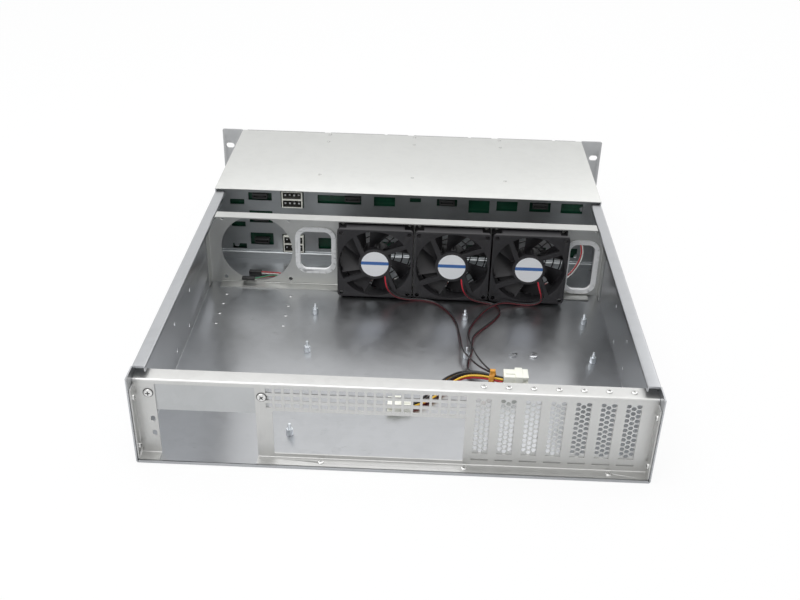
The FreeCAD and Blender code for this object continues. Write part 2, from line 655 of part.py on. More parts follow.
SATA_HEIGHT = 5.6
POWER_X = -129.5
POWER_WIDTH = 23.0
POWER_Z = 7.8               # bottom of the stack above its row's floor
POWER_STACK = 19.6
LEAD_HOLE_EDGE = 15.6       # hole for the front panel lead, to the outside of the case
LEAD_HOLE_Z = 33.0


def plate_bosses():
    places = []
    for x in (-INNER + 18, 0.0, INNER - 18):
        for z in (PLATE_SILL + 6, RAIL_TOP - 10):
            places.append((x, z))
    return places


def backplane_plate():
    middle = PLATE_Y + SHEET / 2
    sill = middle - PLATE_STEP
    half = INNER - CLEAR
    solid = folded_along_x([(sill, FLOOR), (sill, PLATE_SILL), (middle, PLATE_SILL), (middle, RAIL_TOP)], -half, half)
    reach = BOARD_STANDOFF + SHEET / 2
    bosses = [ngon_prism((x, PLATE_Y + SHEET / 2, z), 5.5, 6, reach) for x, z in plate_bosses()]
    solid = join(solid, bosses)
    tools = corner_relief(half, PLATE_Y - PLATE_STEP - 1, PLATE_Y + SHEET + 1)
    for x0, x1, z0, z1, rows in CUTOUTS:
        for row in rows:
            base = BAY_BASE + ROW_PITCH * row
            tools.append(box(x0, x1, PLATE_Y - 1, PLATE_Y + SHEET + 1, base + z0, base + z1))
    tools.append(rod((HALF - LEAD_HOLE_EDGE, PLATE_Y - 1, LEAD_HOLE_Z), (0, 1, 0), PANEL_LEAD + 4 * GAP, SHEET + 2))
    return cut_all(solid, tools)


def backplane_board():
    return box(-HALF + BOARD_MARGIN, HALF - BOARD_MARGIN, BOARD_Y, BOARD_FRONT, PLATE_SILL + 2, RAIL_TOP - 1)


def sata_sockets():
    """Data sockets on the rear of the board and the drive sockets on its front, one pair for each bay."""
    solids = []
    for column in range(COLUMNS):
        for row in range(ROWS):
            base = BAY_BASE + ROW_PITCH * row
            x = SATA_XS[column]
            z = base + SATA_Z
            shell = box(x - SATA_WIDTH / 2, x + SATA_WIDTH / 2, PLATE_Y - 3, BOARD_Y, z, z + SATA_HEIGHT)
            mouth = box(x - SATA_WIDTH / 2 + 1.5, x + SATA_WIDTH / 2 - 1.5, PLATE_Y - 4, BOARD_Y - 1.5,
                        z + 1.6, z + SATA_HEIGHT - 1.6)
            tongue = box(x - SATA_WIDTH / 2 + 3, x + SATA_WIDTH / 2 - 3, PLATE_Y - 2, BOARD_Y - 1.5,
                         z + 2.3, z + 3.3)
            solids.append(shell.cut(mouth.cut(tongue)))
            centre = -INNER + COLUMN_PITCH * (column + 0.5)
            z = base + 6.0
            solids.append(box(centre - 16, centre + 16, BOARD_FRONT, BOARD_FRONT + 5, z, z + 6))
    return Part.makeCompound(solids)


def power_sockets():
    """Two four-pole sockets, one above the other, on the rear of the board."""
    solids = []
    for row in (0, 2):
        z0 = BAY_BASE + ROW_PITCH * row + POWER_Z
        x0 = POWER_X - POWER_WIDTH / 2
        shell = box(x0, x0 + POWER_WIDTH, PLATE_Y - 3, BOARD_Y, z0, z0 + POWER_STACK)
        cavities = []
        tall = POWER_STACK / 2
        for level in range(2):
            z = z0 + tall * level
            cavities.append(box(x0 + 1.2, x0 + POWER_WIDTH - 1.2, PLATE_Y - 4, BOARD_Y - 2, z + 1.2, z + tall - 0.8))
        shell = shell.cut(Part.makeCompound(cavities))
        pins = []
        for level in range(2):
            for i in range(4):
                x = POWER_X + 5.08 * (i - 1.5)
                z = z0 + tall * level + tall / 2 + 0.2
                pins.append(box(x - 1, x + 1, PLATE_Y - 1.5, BOARD_Y - 1, z - 1, z + 1))
        solids.append(shell.fuse(pins).removeSplitter())
    return Part.makeCompound(solids)


def bay_walls(column):
    """Left and right faces between which a tray of this column slides."""
    left = -INNER + COLUMN_PITCH * column
    right = left + COLUMN_PITCH
    if column > 0:
        left += DIVIDER_SHEET / 2
    if column < COLUMNS - 1:
        right -= DIVIDER_SHEET / 2
    return left, right


def drive_tray(column, row):
    """Moulded tray for one drive: an open floor, two low sides and a front with a finger pull."""
    left, right = bay_walls(column)
    left += TRAY_CLEAR
    right -= TRAY_CLEAR
    base = BAY_BASE + ROW_PITCH * row
    z0 = base + RUNNER_HEIGHT + GAP
    top = base + ROW_PITCH - GAP
    y1 = CASE_DEPTH
    solid = box(left, right, TRAY_REAR, y1, z0, z0 + TRAY_SIDE)
    solid = solid.cut(box(left + TRAY_WALL, right - TRAY_WALL, TRAY_REAR - 1, y1 - 2, z0 + TRAY_WALL, top + 1))
    front = box(left, right, y1 - 2, y1 + BEZEL_DEPTH, z0, top)
    solid = solid.fuse(front).removeSplitter()
    tools = []
    for k in range(3):
        y = TRAY_REAR + 14 + 48 * k
        tools.append(box(left + 12, right - 12, y, y + 38, z0 - 1, z0 + TRAY_WALL + 1))
    inner_top = top - BEZEL_WALL
    tools.append(box(left + BEZEL_WALL, right - 34, y1 + BEZEL_DEPTH - 2.5, y1 + BEZEL_DEPTH + 1,
                     z0 + BEZEL_WALL, inner_top))
    for k in range(4):
        x = left + 8 + 15.5 * k
        tools.append(box(x, x + 11, y1 - 3, y1 + BEZEL_DEPTH, z0 + 6, inner_top - 6))
    tools.append(box(right - 30, right - 4, y1 + 2, y1 + BEZEL_DEPTH + 1, z0 + BEZEL_WALL, inner_top))
    solid = cut_all(solid, tools)
    pull = box(right - 31, right - 3, y1 + BEZEL_DEPTH - 3, y1 + BEZEL_DEPTH - 0.5,
               (z0 + top) / 2 - 3, (z0 + top) / 2 + 3)
    return solid.fuse(pull).removeSplitter()


# ---- rack ears, trims and button -----------------------------------------------------
BUTTON_BORE_DEPTH = 4.8
TRIM_MARGIN = 2.0


def ear_slot_heights():
    middle = CASE_HEIGHT / 2
    return (middle - EAR_HOLE_SPACING / 2, middle + EAR_HOLE_SPACING / 2)


def rack_ear(side):
    inner = HALF + EAR_SHEET / 2
    middle = CASE_DEPTH + EAR_SHEET / 2
    outer = EAR_SPAN / 2
    points = [(side * inner, CASE_DEPTH - EAR_FLANGE), (side * inner, middle), (side * outer, middle)]
    solid = folded_along_z(points, 0, CASE_HEIGHT, EAR_SHEET)
    tools = []
    x0, x1 = sorted((side * (HALF - 1), side * (HALF + EAR_SHEET + 0.5)))
    for z0, z1 in ((-1, 8), (CASE_HEIGHT - 8, CASE_HEIGHT + 1)):
        tools.append(box(x0, x1, CASE_DEPTH - EAR_FLANGE - 1, CASE_DEPTH - 0.5, z0, z1))
    for z in ear_slot_heights():
        at = (side * EAR_HOLE_SPAN / 2, CASE_DEPTH - 1, z)
        tools.append(obround(at, EAR_SLOT_LENGTH, EAR_SLOT_WIDTH, "x", EAR_SHEET + 2))
    solid = cut_all(solid, tools)
    corners = [e for e in solid.Edges
               if abs(e.CenterOfMass.y - middle) < 0.01 and abs(abs(e.CenterOfMass.x) - outer) < 0.01
               and abs(e.Length - EAR_SHEET) < 0.01]
    return solid.makeFillet(2.0, corners)


def trim_edges(side):
    start = HALF + GAP
    return sorted((side * start, side * (start + TRIM_WIDTH)))


def ear_trim(side):
    """Moulded strip on the front of an ear; the left one carries the power button."""
    x0, x1 = trim_edges(side)
    front = CASE_DEPTH + EAR_SHEET + TRIM_DEPTH
    solid = box(x0, x1, CASE_DEPTH + EAR_SHEET, front, TRIM_MARGIN, CASE_HEIGHT - TRIM_MARGIN)
    edges = [e for e in solid.Edges
             if abs(e.CenterOfMass.y - front) < 0.01 and abs(e.CenterOfMass.z - CASE_HEIGHT / 2) < 0.01]
    solid = solid.makeFillet(2.5, edges)
    if side < 0:
        at = ((x0 + x1) / 2, front - BUTTON_BORE_DEPTH, BUTTON_HEIGHT)
        solid = solid.cut(rod(at, (0, 1, 0), BUTTON_DIAMETER + 2 * GAP, BUTTON_BORE_DEPTH + 1))
    return solid


def power_button():
    x0, x1 = trim_edges(-1)
    front = CASE_DEPTH + EAR_SHEET + TRIM_DEPTH
    length = BUTTON_BORE_DEPTH - BUTTON_TRAVEL - CLEAR + BUTTON_PROUD
    solid = rod(((x0 + x1) / 2, front + BUTTON_PROUD - length, BUTTON_HEIGHT), (0, 1, 0), BUTTON_DIAMETER, length)
    edges = [e for e in solid.Edges if abs(e.CenterOfMass.y - front - BUTTON_PROUD) < 0.01]
    return solid.makeFillet(0.4, edges)


# ---- studs for the main board --------------------------------------------------------
def board_points():
    x0 = -HALF + BOARD_FIRST_X
    points = []
    for i, dx in enumerate(BOARD_HOLE_X):
        for j, dy in enumerate(BOARD_HOLE_Y):
            shift = BOARD_IO_HOLE if i == 0 and j == 0 else 0.0
            points.append((x0 + dx, BOARD_FIRST_Y + dy + shift))
    return points


def board_standoffs():
    solids = []
    for x, y in board_points():
        body = ngon_prism((x, y, FLOOR), STANDOFF_ACROSS, 6, STANDOFF_HEIGHT, (0, 0, 1))
        solids.append(body.cut(rod((x, y, FLOOR + 1), (0, 0, 1), STANDOFF_BORE, STANDOFF_HEIGHT)))
    return Part.makeCompound(solids)


# ---- leads ---------------------------------------------------------------------------
def tube(name, points, diameter, sides=6):
    """Straight runs joined by tangent arcs, swept with a many-sided section."""
    nodes = [Vector(*p) for p in points]
    edges = []
    last = nodes[0]
    radii = []
    for i in range(1, len(nodes) - 1):
        before = nodes[i] - nodes[i - 1]
        after = nodes[i + 1] - nodes[i]
        turn = before.getAngle(after)
        radius = 0.45 * min(before.Length, after.Length) / math.tan(turn / 2)
        radii.append(radius)
        reach = radius * math.tan(turn / 2)
        a = Vector(before).normalize()
        b = Vector(after).normalize()
        first = nodes[i] - a * reach
        second = nodes[i] + b * reach
        inward = (b - a).normalize()
        middle = nodes[i] + inward * (radius / math.cos(turn / 2) - radius)
        edges.append(Part.LineSegment(last, first).toShape())
        edges.append(Part.Arc(first, middle, second).toShape())
        last = second
    edges.append(Part.LineSegment(last, nodes[-1]).toShape())
    path = Part.Wire(edges)
    direction = (nodes[1] - nodes[0]).normalize()
    radius = diameter / 2
    corners = []
    turn = FreeCAD.Rotation(Vector(0, 0, 1), direction)
    for i in range(sides):
        angle = 2 * math.pi * i / sides
        corners.append(nodes[0] + turn.multVec(Vector(radius * math.cos(angle), radius * math.sin(angle), 0)))
    section = Part.makePolygon(corners + [corners[0]])
    solid = path.makePipeShell([section], True, False)
    area = sides / 2 * radius ** 2 * math.sin(2 * math.pi / sides)
    ratio = solid.Volume / (area * path.Length)
    print("%s length %.0f, smallest radius %.1f, volume ratio %.3f" % (name, path.Length, min(radii), ratio))
    return solid


FAN_LEAD_ROUTES = (
    ((-19.6, 284.8, 29.0), (-19.0, 281.4, 22.4), (-15.4, 280.0, 13.4), (-7.0, 280.4, 6.4), (5.6, 282.0, 3.2),
     (20.0, 283.4, 2.7), (33.4, 279.6, 2.8), (43.8, 268.6, 2.7), (52.6, 253.0, 2.8), (57.8, 235.6, 2.8),
     (59.2, 217.4, 4.4), (60.8, 200.2, 7.6), (63.0, 184.6, 10.8), (67.4, 168.8, 11.4), (74.2, 153.8, 10.2),
     (83.0, 141.4, 9.6), (91.4, 133.2, 10.4)),
    ((62.1, 284.8, 29.0), (62.7, 281.4, 22.4), (66.4, 280.0, 13.4), (74.6, 280.2, 6.6), (85.6, 281.8, 3.2),
     (96.4, 280.4, 2.7), (103.4, 271.4, 2.8), (103.2, 259.6, 2.7), (96.4, 246.0, 2.8), (86.4, 231.6, 2.9),
     (76.8, 217.6, 3.6), (71.2, 202.8, 6.2), (70.4, 188.0, 9.2), (69.2, 175.6, 9.2), (65.8, 164.0, 5.6),
     (65.4, 153.0, 4.8), (69.0, 143.0, 6.4), (75.6, 135.4, 8.6)),
    ((143.8, 284.8, 29.0), (145.6, 281.4, 22.4), (149.0, 280.0, 13.0), (146.4, 280.4, 5.6), (136.4, 280.8, 2.8),
     (123.6, 281.6, 3.0), (111.4, 280.0, 5.6), (100.0, 274.0, 6.8), (88.2, 264.2, 5.0), (78.8, 248.6, 3.4),
     (71.2, 231.0, 3.4), (66.8, 213.4, 6.2), (65.6, 196.6, 9.6), (66.6, 181.4, 12.6), (70.2, 167.6, 13.2),
     (77.0, 154.0, 12.4), (85.8, 142.6, 11.8), (94.2, 133.4, 11.6)),
)
BUNDLE_ROUTE = ((99.0, 128.0, 9.4), (88.0, 131.6, 9.6), (75.0, 134.4, 9.0), (61.5, 133.6, 7.6), (49.5, 127.0, 6.0),
                (41.0, 116.8, 5.0), (34.6, 104.6, 4.8), (25.4, 94.6, 5.2), (14.0, 88.0, 5.8))
PANEL_LEAD_ROUTE = ((199.4, 375.2, 33.0), (199.4, 364.4, 32.6), (198.6, 351.6, 28.0), (192.6, 340.0, 20.4),
                    (183.0, 331.0, 12.4), (169.6, 326.0, 6.2), (152.0, 323.0, 3.4), (122.0, 324.6, 3.2),
                    (88.0, 321.6, 3.2), (50.0, 324.6, 3.2), (10.0, 321.6, 3.2), (-30.0, 324.6, 3.2),
                    (-70.0, 321.8, 3.2), (-104.0, 324.8, 3.2), (-128.0, 324.0, 3.6), (-146.0, 327.2, 3.8),
                    (-160.5, 327.6, 3.8))
BRANCH_ROUTE = ((-126.0, 321.4, 4.2), (-138.0, 317.6, 6.2), (-149.0, 312.8, 8.4), (-157.0, 308.0, 8.8),
                (-164.6, 305.8, 8.4))
BRANCH_LEAD = 2.4


def power_plugs():
    """Ivory four-pole plugs on the ends of the bundle, three at each end."""
    solids = []
    y0 = 128.0 - PLUG_WIDTH / 2
    places = [(99.0, y0 - 3.0, FLOOR, 1), (99.0, y0, FLOOR + PLUG_HEIGHT, 1),
              (14.0 - PLUG_LENGTH, 88.0 - PLUG_WIDTH / 2, FLOOR, -1)]
    for x, y, z, way in places:
        body = box(x, x + PLUG_LENGTH, y, y + PLUG_WIDTH, z, z + PLUG_HEIGHT)
        end = x + PLUG_LENGTH if way > 0 else x
        mouths = []
        for i in range(4):
            cy = y + PLUG_WIDTH / 2 + 5.08 * (i - 1.5)
            x0, x1 = sorted((end - way * 12, end + way))
            mouths.append(box(x0, x1, cy - 1.7, cy + 1.7, z + PLUG_HEIGHT / 2 - 1.7, z + PLUG_HEIGHT / 2 + 1.7))
        solids.append(body.cut(Part.makeCompound(mouths)))
    return Part.makeCompound(solids)


def cable_tie():
    """Flat strap closed round the bundle, with its lock on top."""
    a, b = Vector(*BUNDLE_ROUTE[0]), Vector(*BUNDLE_ROUTE[1])
    axis = (b - a).normalize()
    centre = b - axis * 1.0
    start = centre - axis * 2.4
    strap = Part.makeCylinder(BUNDLE / 2 + GAP + 1.4, 4.8, start, axis)
    lock = Part.makeBox(5.0, 4.0, 4.6, Vector(-2.5, -2.0, BUNDLE / 2 + 0.4))
    lock.translate(centre)
    solid = strap.fuse(lock).removeSplitter()
    return solid.cut(Part.makeCylinder(BUNDLE / 2 + GAP, 12, centre - axis * 6, axis))


def panel_plugs():
    first = box(-174.5, -160.5, 325.0, 330.2, FLOOR, FLOOR + 5.1)
    second = box(-178.6, -164.6, 303.2, 308.4, 7.1, 9.7)
    return Part.makeCompound([first, second])


# ---- build ---------------------------------------------------------------------------
save("chassis_tray", chassis_tray())
save("rear_panel", rear_panel())
save("psu_bracket", psu_bracket())
for i, slot_left in enumerate(SLOT_LEFTS):
    save("slot_cover_%d" % (i + 1), slot_cover(slot_left))
save("pan_head_screws", Part.makeCompound([screw(*s) for s in panel_screws()]))
save("fan_wall", fan_wall())
for name, sizes in grommet_sizes().items():
    save(name, cable_grommet(sizes))
for i, fan_x in enumerate(FAN_XS):
    save("fan_frame_%d" % (i + 1), fan_frame(fan_x))
    save("fan_rotor_%d" % (i + 1), fan_rotor(fan_x))
    save("fan_guard_%d" % (i + 1), fan_guard(fan_x))
    save("fan_lead_%d" % (i + 1), tube("fan lead", FAN_LEAD_ROUTES[i], FAN_LEAD))
save("front_cover", front_cover())
for k in range(1, COLUMNS):
    save("cage_divider_%d" % k, cage_divider(k))
save("backplane_plate", backplane_plate())
save("backplane_board", backplane_board())
save("sata_sockets", sata_sockets())
save("power_sockets", power_sockets())
for column in range(COLUMNS):
    for row in range(ROWS):
        save("drive_tray_%d" % (column * ROWS + row + 1), drive_tray(column, row))
for name, side in (("left", -1), ("right", 1)):
    save("rack_ear_" + name, rack_ear(side))
    save("ear_trim_" + name, ear_trim(side))
save("power_button", power_button())
save("board_standoffs", board_standoffs())
save("wire_bundle", tube("bundle", BUNDLE_ROUTE, BUNDLE))
save("power_plugs", power_plugs())
save("cable_tie", cable_tie())
save("panel_lead", tube("panel lead", PANEL_LEAD_ROUTE, PANEL_LEAD))
save("panel_lead_branch", tube("branch", BRANCH_ROUTE, BRANCH_LEAD))
save("panel_plugs", panel_plugs())
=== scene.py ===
import math

import bpy
from mathutils import Matrix, Vector


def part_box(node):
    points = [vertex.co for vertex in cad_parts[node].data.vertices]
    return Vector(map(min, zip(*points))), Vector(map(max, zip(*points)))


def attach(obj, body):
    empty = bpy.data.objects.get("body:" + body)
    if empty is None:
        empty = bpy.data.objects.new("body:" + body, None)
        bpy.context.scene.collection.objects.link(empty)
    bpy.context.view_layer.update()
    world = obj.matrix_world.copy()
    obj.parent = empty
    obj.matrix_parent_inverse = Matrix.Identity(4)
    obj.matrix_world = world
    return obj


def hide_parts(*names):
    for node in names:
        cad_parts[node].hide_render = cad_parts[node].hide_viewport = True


# Two-unit rackmount server case seen from the rear, with the rear cover off.
# Lengths are metres. +X is right seen from the rear, +Y points to the front, +Z is up.

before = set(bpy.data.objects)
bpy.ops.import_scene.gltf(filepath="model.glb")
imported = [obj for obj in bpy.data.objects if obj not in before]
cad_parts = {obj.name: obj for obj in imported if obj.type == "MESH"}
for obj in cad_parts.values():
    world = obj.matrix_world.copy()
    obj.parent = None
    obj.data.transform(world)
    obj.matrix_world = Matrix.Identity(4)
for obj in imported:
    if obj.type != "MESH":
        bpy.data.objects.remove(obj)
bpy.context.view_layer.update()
MM = 0.001
Y_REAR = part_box("chassis_tray")[0].y      # rear edge of the case


# ---- small tools ---------------------------------------------------------------------
def deselect():
    bpy.ops.object.select_all(action="DESELECT")


def activate(obj):
    deselect()
    obj.select_set(True)
    bpy.context.view_layer.objects.active = obj


def settle(obj, name):
    """Puts a piece's place into its mesh and names it."""
    activate(obj)
    bpy.ops.object.transform_apply(location=True, rotation=True, scale=True)
    obj.name = name
    obj.data.name = name
    return obj


def dress(obj, material, body="case", replaces=()):
    obj.data.materials.clear()
    obj.data.materials.append(material)
    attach(obj, body)
    if replaces:
        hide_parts(*replaces)
    return obj


def smooth(obj, degrees=32):
    activate(obj)
    bpy.ops.object.shade_smooth_by_angle(angle=math.radians(degrees))


def joined(objects, name):
    deselect()
    for obj in objects:
        obj.select_set(True)
    bpy.context.view_layer.objects.active = objects[0]
    if len(objects) > 1:
        bpy.ops.object.join()
    return settle(bpy.context.view_layer.objects.active, name)


def select_faces(obj, test):
    """Selects the faces whose centre and normal pass the test, and goes into edit mode."""
    activate(obj)
    bpy.ops.object.mode_set(mode="EDIT")
    bpy.ops.mesh.select_all(action="DESELECT")
    bpy.ops.mesh.select_mode(type="FACE")
    bpy.ops.object.mode_set(mode="OBJECT")
    for face in obj.data.polygons:
        face.select = test(face.center, face.normal)
    bpy.ops.object.mode_set(mode="EDIT")


def round_edges(obj, width, segments=2, degrees=30):
    """Bevels the edges that are sharper than the angle."""
    rounding = obj.modifiers.new("edges", "BEVEL")
    rounding.width = width
    rounding.segments = segments
    rounding.limit_method = "ANGLE"
    rounding.angle_limit = math.radians(degrees)
    rounding.use_clamp_overlap = True
    activate(obj)
    bpy.ops.object.modifier_apply(modifier="edges")


def carve(obj, cutter):
    """Takes the cutter's shape out of a piece, and removes the cutter."""
    settle(cutter, "cutter")
    hole = obj.modifiers.new("hole", "BOOLEAN")
    hole.operation = "DIFFERENCE"
    hole.solver = "EXACT"
    hole.object = cutter
    activate(obj)
    bpy.ops.object.modifier_apply(modifier="hole")
    bpy.data.objects.remove(cutter)


def cad_copy(node, name, bevel=0.0):
    """A clean copy of a node's mesh: corners merged, flat faces whole again, edges broken by the bevel."""
    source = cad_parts[node]
    obj = bpy.data.objects.new(name, source.data.copy())
    bpy.context.scene.collection.objects.link(obj)
    activate(obj)
    bpy.ops.object.mode_set(mode="EDIT")
    bpy.ops.mesh.select_all(action="SELECT")
    bpy.ops.mesh.remove_doubles(threshold=1e-6)
    bpy.ops.mesh.dissolve_limited(angle_limit=math.radians(0.5))
    bpy.ops.object.mode_set(mode="OBJECT")
    if bevel:
        round_edges(obj, bevel, degrees=50)
    smooth(obj)
    return obj


# ---- shader maths --------------------------------------------------------------------
class Value:
    """A socket that takes part in Python arithmetic."""

    def __init__(self, finish, socket):
        self.finish = finish
        self.socket = socket

    def _maths(self, operation, *terms):
        return self.finish.node("ShaderNodeMath", {"operation": operation}, dict(enumerate(terms)))

    def __add__(self, other):
        return self._maths("ADD", self, other)

    def __mul__(self, other):
        return self._maths("MULTIPLY", self, other)

    __radd__ = __add__
    __rmul__ = __mul__


class Finish:
    """One material: its nodes are added by node(), and coat() sets the surface."""

    def __init__(self, name):
        self.material = bpy.data.materials.new(name)
        self.material.use_nodes = True
        self.tree = self.material.node_tree
        self.surface = self.tree.nodes["Principled BSDF"]
        self.place = self.node("ShaderNodeTexCoord", {}, {}, "Object")

    def node(self, kind, settings, inputs, output=0):
        made = self.tree.nodes.new(kind)
        for key, setting in settings.items():
            if key == "stops":
                self.ramp(made.color_ramp, setting)
            else:
                setattr(made, key, setting)
        for key, value in inputs.items():
            self.feed(made.inputs[key], value)
        return Value(self, made.outputs[output])

    def ramp(self, ramp, stops):
        while len(ramp.elements) < len(stops):
            ramp.elements.new(0.5)
        for element, (position, colour) in zip(ramp.elements, stops):
            element.position = position
            element.color = (*colour, 1)

    def feed(self, socket, value):
        if isinstance(value, Value):
            self.tree.links.new(value.socket, socket)
        elif isinstance(value, tuple) and len(value) == 3 and socket.type == "RGBA":
            socket.default_value = (*value, 1)
        else:
            socket.default_value = value

    def coat(self, **inputs):
        for key, value in inputs.items():
            self.feed(self.surface.inputs[key.replace("_", " ")], value)
        return self.material

    def stretched(self, x, y, z):
        return self.node("ShaderNodeMapping", {}, {"Vector": self.place, "Scale": (x, y, z)})

    def noise(self, scale, detail=3.0, roughness=0.55, vector=None):
        return self.node("ShaderNodeTexNoise", {}, {"Vector": vector or self.place, "Scale": scale,
                                                   "Detail": detail, "Roughness": roughness}, "Fac")

    def cells(self, scale):
        return self.node("ShaderNodeTexVoronoi", {}, {"Vector": self.place, "Scale": scale}, "Color")

    def ramped(self, value, stops):
        return self.node("ShaderNodeValToRGB", {"stops": stops}, {"Fac": value})

    def mixed(self, share, first, second):
        return self.node("ShaderNodeMix", {"data_type": "RGBA"}, {"Factor": share, 6: first, 7: second}, 2)

    def bump(self, height, strength, distance):
        return self.node("ShaderNodeBump", {}, {"Strength": strength, "Distance": distance, "Height": height})


# ---- finishes ------------------------------------------------------------------------
def galvanised(name, tone, rough, grain=(1.0, 40.0, 40.0), patchy=0.3):
    """Zinc-coated sheet: faint spangle, weak patches and a fine rolling grain."""
    f = Finish(name)
    cloud = f.noise(9.0, 4.0)
    spangle = f.cells(140.0)
    fleck = f.node("ShaderNodeSeparateColor", {}, {"Color": spangle}, 0)
    lines = f.noise(60.0, 2.0, vector=f.stretched(*grain))
    shade = cloud * patchy + fleck * 0.08 + lines * 0.22 + (0.35 - 0.5 * patchy)
    dark = tuple(0.86 * c for c in tone)
    light = tuple(min(1.0, 1.06 * c) for c in tone)
    colour = f.ramped(shade, [(0.25, dark), (0.5, tone), (0.78, light)])
    roughness = cloud * (0.12 * patchy) + fleck * 0.03 + lines * 0.06 + (rough - 0.06)
    return f.coat(Base_Color=colour, Metallic=1.0, Roughness=roughness,
                  Normal=f.bump(lines * 0.5 + cloud * patchy, 0.05, 0.0005))


def plated(name, tone, rough):
    """Plated or bare metal with fine marks."""
    f = Finish(name)
    marks = f.noise(900.0, 3.0)
    colour = f.ramped(marks, [(0.3, tuple(0.8 * c for c in tone)), (0.7, tone)])
    return f.coat(Base_Color=colour, Metallic=1.0, Roughness=marks * 0.16 + (rough - 0.08),
                  Normal=f.bump(marks, 0.1, 0.0002))


def moulded(name, tone, rough, grain=2600.0, depth=0.12):
    """Moulded plastic with a fine eroded texture and faint flow shading."""
    f = Finish(name)
    skin = f.noise(grain, 2.0)
    flow = f.noise(28.0, 3.0)
    light = tuple(min(1.0, 1.18 * c + 0.004) for c in tone)
    colour = f.ramped(flow * 0.7 + skin * 0.3, [(0.3, tone), (0.75, light)])
    return f.coat(Base_Color=colour, Roughness=skin * 0.14 + flow * 0.08 + (rough - 0.11),
                  Normal=f.bump(skin, depth, 0.0002))


def powder_coat(name, tone, rough, metal=0.0):
    """Paint with a fine orange peel; metal above 0 gives a metallic paint."""
    f = Finish(name)
    peel = f.noise(1500.0, 2.0)
    colour = f.ramped(f.noise(40.0, 3.0), [(0.3, tone), (0.8, tuple(min(1.0, 1.2 * c) for c in tone))])
    return f.coat(Base_Color=colour, Roughness=peel * 0.12 + (rough - 0.06), Coat_Weight=peel * 0.2,
                  Metallic=metal, Normal=f.bump(peel, 0.25, 0.0002))


def circuit_board(name):
    """Green solder mask with copper tracks showing through it."""
    f = Finish(name)
    upright = f.node("ShaderNodeMapping", {}, {"Vector": f.place, "Rotation": (math.pi / 2, 0, 0)})
    grid = f.node("ShaderNodeTexBrick", {"offset": 0.5}, {
        "Vector": upright, "Scale": 60.0, "Mortar Size": 0.04,
        "Color1": (0.0, 0.0, 0.0), "Color2": (0.4, 0.4, 0.4)}, "Color")
    tracks = f.node("ShaderNodeSeparateColor", {}, {"Color": grid}, 0)
    colour = f.ramped(tracks * 0.6 + f.noise(50.0) * 0.4,
                      [(0.2, (0.003, 0.045, 0.022)), (0.6, (0.006, 0.085, 0.042))])
    return f.coat(Base_Color=colour, Roughness=tracks * 0.1 + 0.28, Normal=f.bump(tracks, 0.3, 0.0001))


def insulation(name, tone, floor_shade_tone=None):
    """Glossy wire insulation; the last argument, if given, is a darker colour painted as shade where the wire
    lies low near the floor.
    """
    f = Finish(name)
    skin = f.noise(700.0, 2.0)
    light = tuple(min(1.0, 1.25 * c + 0.01) for c in tone)
    colour = f.ramped(skin, [(0.3, tone), (0.8, light)])
    # painted shade: below about 12 mm the wire takes the darker colour, above about 22 mm its own
    if floor_shade_tone:
        height = f.node("ShaderNodeSeparateXYZ", {}, {"Vector": f.place}, "Z")
        colour = f.mixed(f.ramped(height * 25.0, [(0.3, (0, 0, 0)), (0.55, (1, 1, 1))]), floor_shade_tone, colour)
    return f.coat(Base_Color=colour, Roughness=skin * 0.15 + 0.3, Normal=f.bump(skin, 0.08, 0.0002))


def paper(name, tone):
    """Coated label paper."""
    f = Finish(name)
    fibre = f.noise(1400.0, 3.0)
    colour = f.ramped(fibre, [(0.3, tuple(0.93 * c for c in tone)), (0.8, tone)])
    return f.coat(Base_Color=colour, Roughness=fibre * 0.1 + 0.4, Normal=f.bump(fibre, 0.05, 0.0001))


STEEL = galvanised("galvanised_steel", (0.47, 0.48, 0.495), 0.30)
STEEL_PANEL = galvanised("galvanised_panel", (0.57, 0.57, 0.56), 0.40, (40.0, 40.0, 1.0), 0.4)
STEEL_BAR = galvanised("galvanised_fan_wall", (0.56, 0.565, 0.55), 0.42)
STEEL_COVER = galvanised("cover_steel", (0.61, 0.615, 0.60), 0.52, patchy=0.06)
STEEL_SLOT = galvanised("slot_cover_steel", (0.57, 0.575, 0.57), 0.38, (40.0, 40.0, 1.0))
STEEL_PLATE = galvanised("backplane_steel", (0.42, 0.44, 0.45), 0.42, patchy=0.2)
SCREW = plated("zinc_screws", (0.78, 0.78, 0.77), 0.25)
STUD = plated("plated_studs", (0.88, 0.92, 0.96), 0.32)
BRACKET = galvanised("mottled_bracket", (0.49, 0.50, 0.505), 0.40, (40.0, 40.0, 40.0), 0.9)
GUARD = powder_coat("guard_paint", (0.03, 0.03, 0.032), 0.4)
FAN_PLASTIC = moulded("fan_plastic", (0.014, 0.013, 0.015), 0.5)
GROMMET = moulded("grommet_plastic", (0.86, 0.87, 0.88), 0.42)
BOARD = circuit_board("solder_mask")
# painted shadow: dark rings for the shade in the rivet recesses and in the gaps under the bracket screws
SHADOW_PAINT = plated("rivet_shadow", (0.16, 0.16, 0.16), 0.5)
SOCKET = moulded("socket_plastic", (0.02, 0.02, 0.02), 0.4)
SHADE = moulded("socket_shade", (0.05, 0.048, 0.042), 0.7)
IVORY = moulded("ivory_nylon", (0.84, 0.84, 0.76), 0.38)
TRAY = moulded("tray_plastic", (0.045, 0.045, 0.05), 0.48)
EAR = powder_coat("ear_paint", (0.38, 0.385, 0.39), 0.40, 0.6)
TRIM = moulded("trim_plastic", (0.04, 0.04, 0.044), 0.42)
BLACK_WIRE = insulation("black_wire", (0.012, 0.011, 0.012))
RED_WIRE = insulation("red_wire", (0.42, 0.012, 0.02))
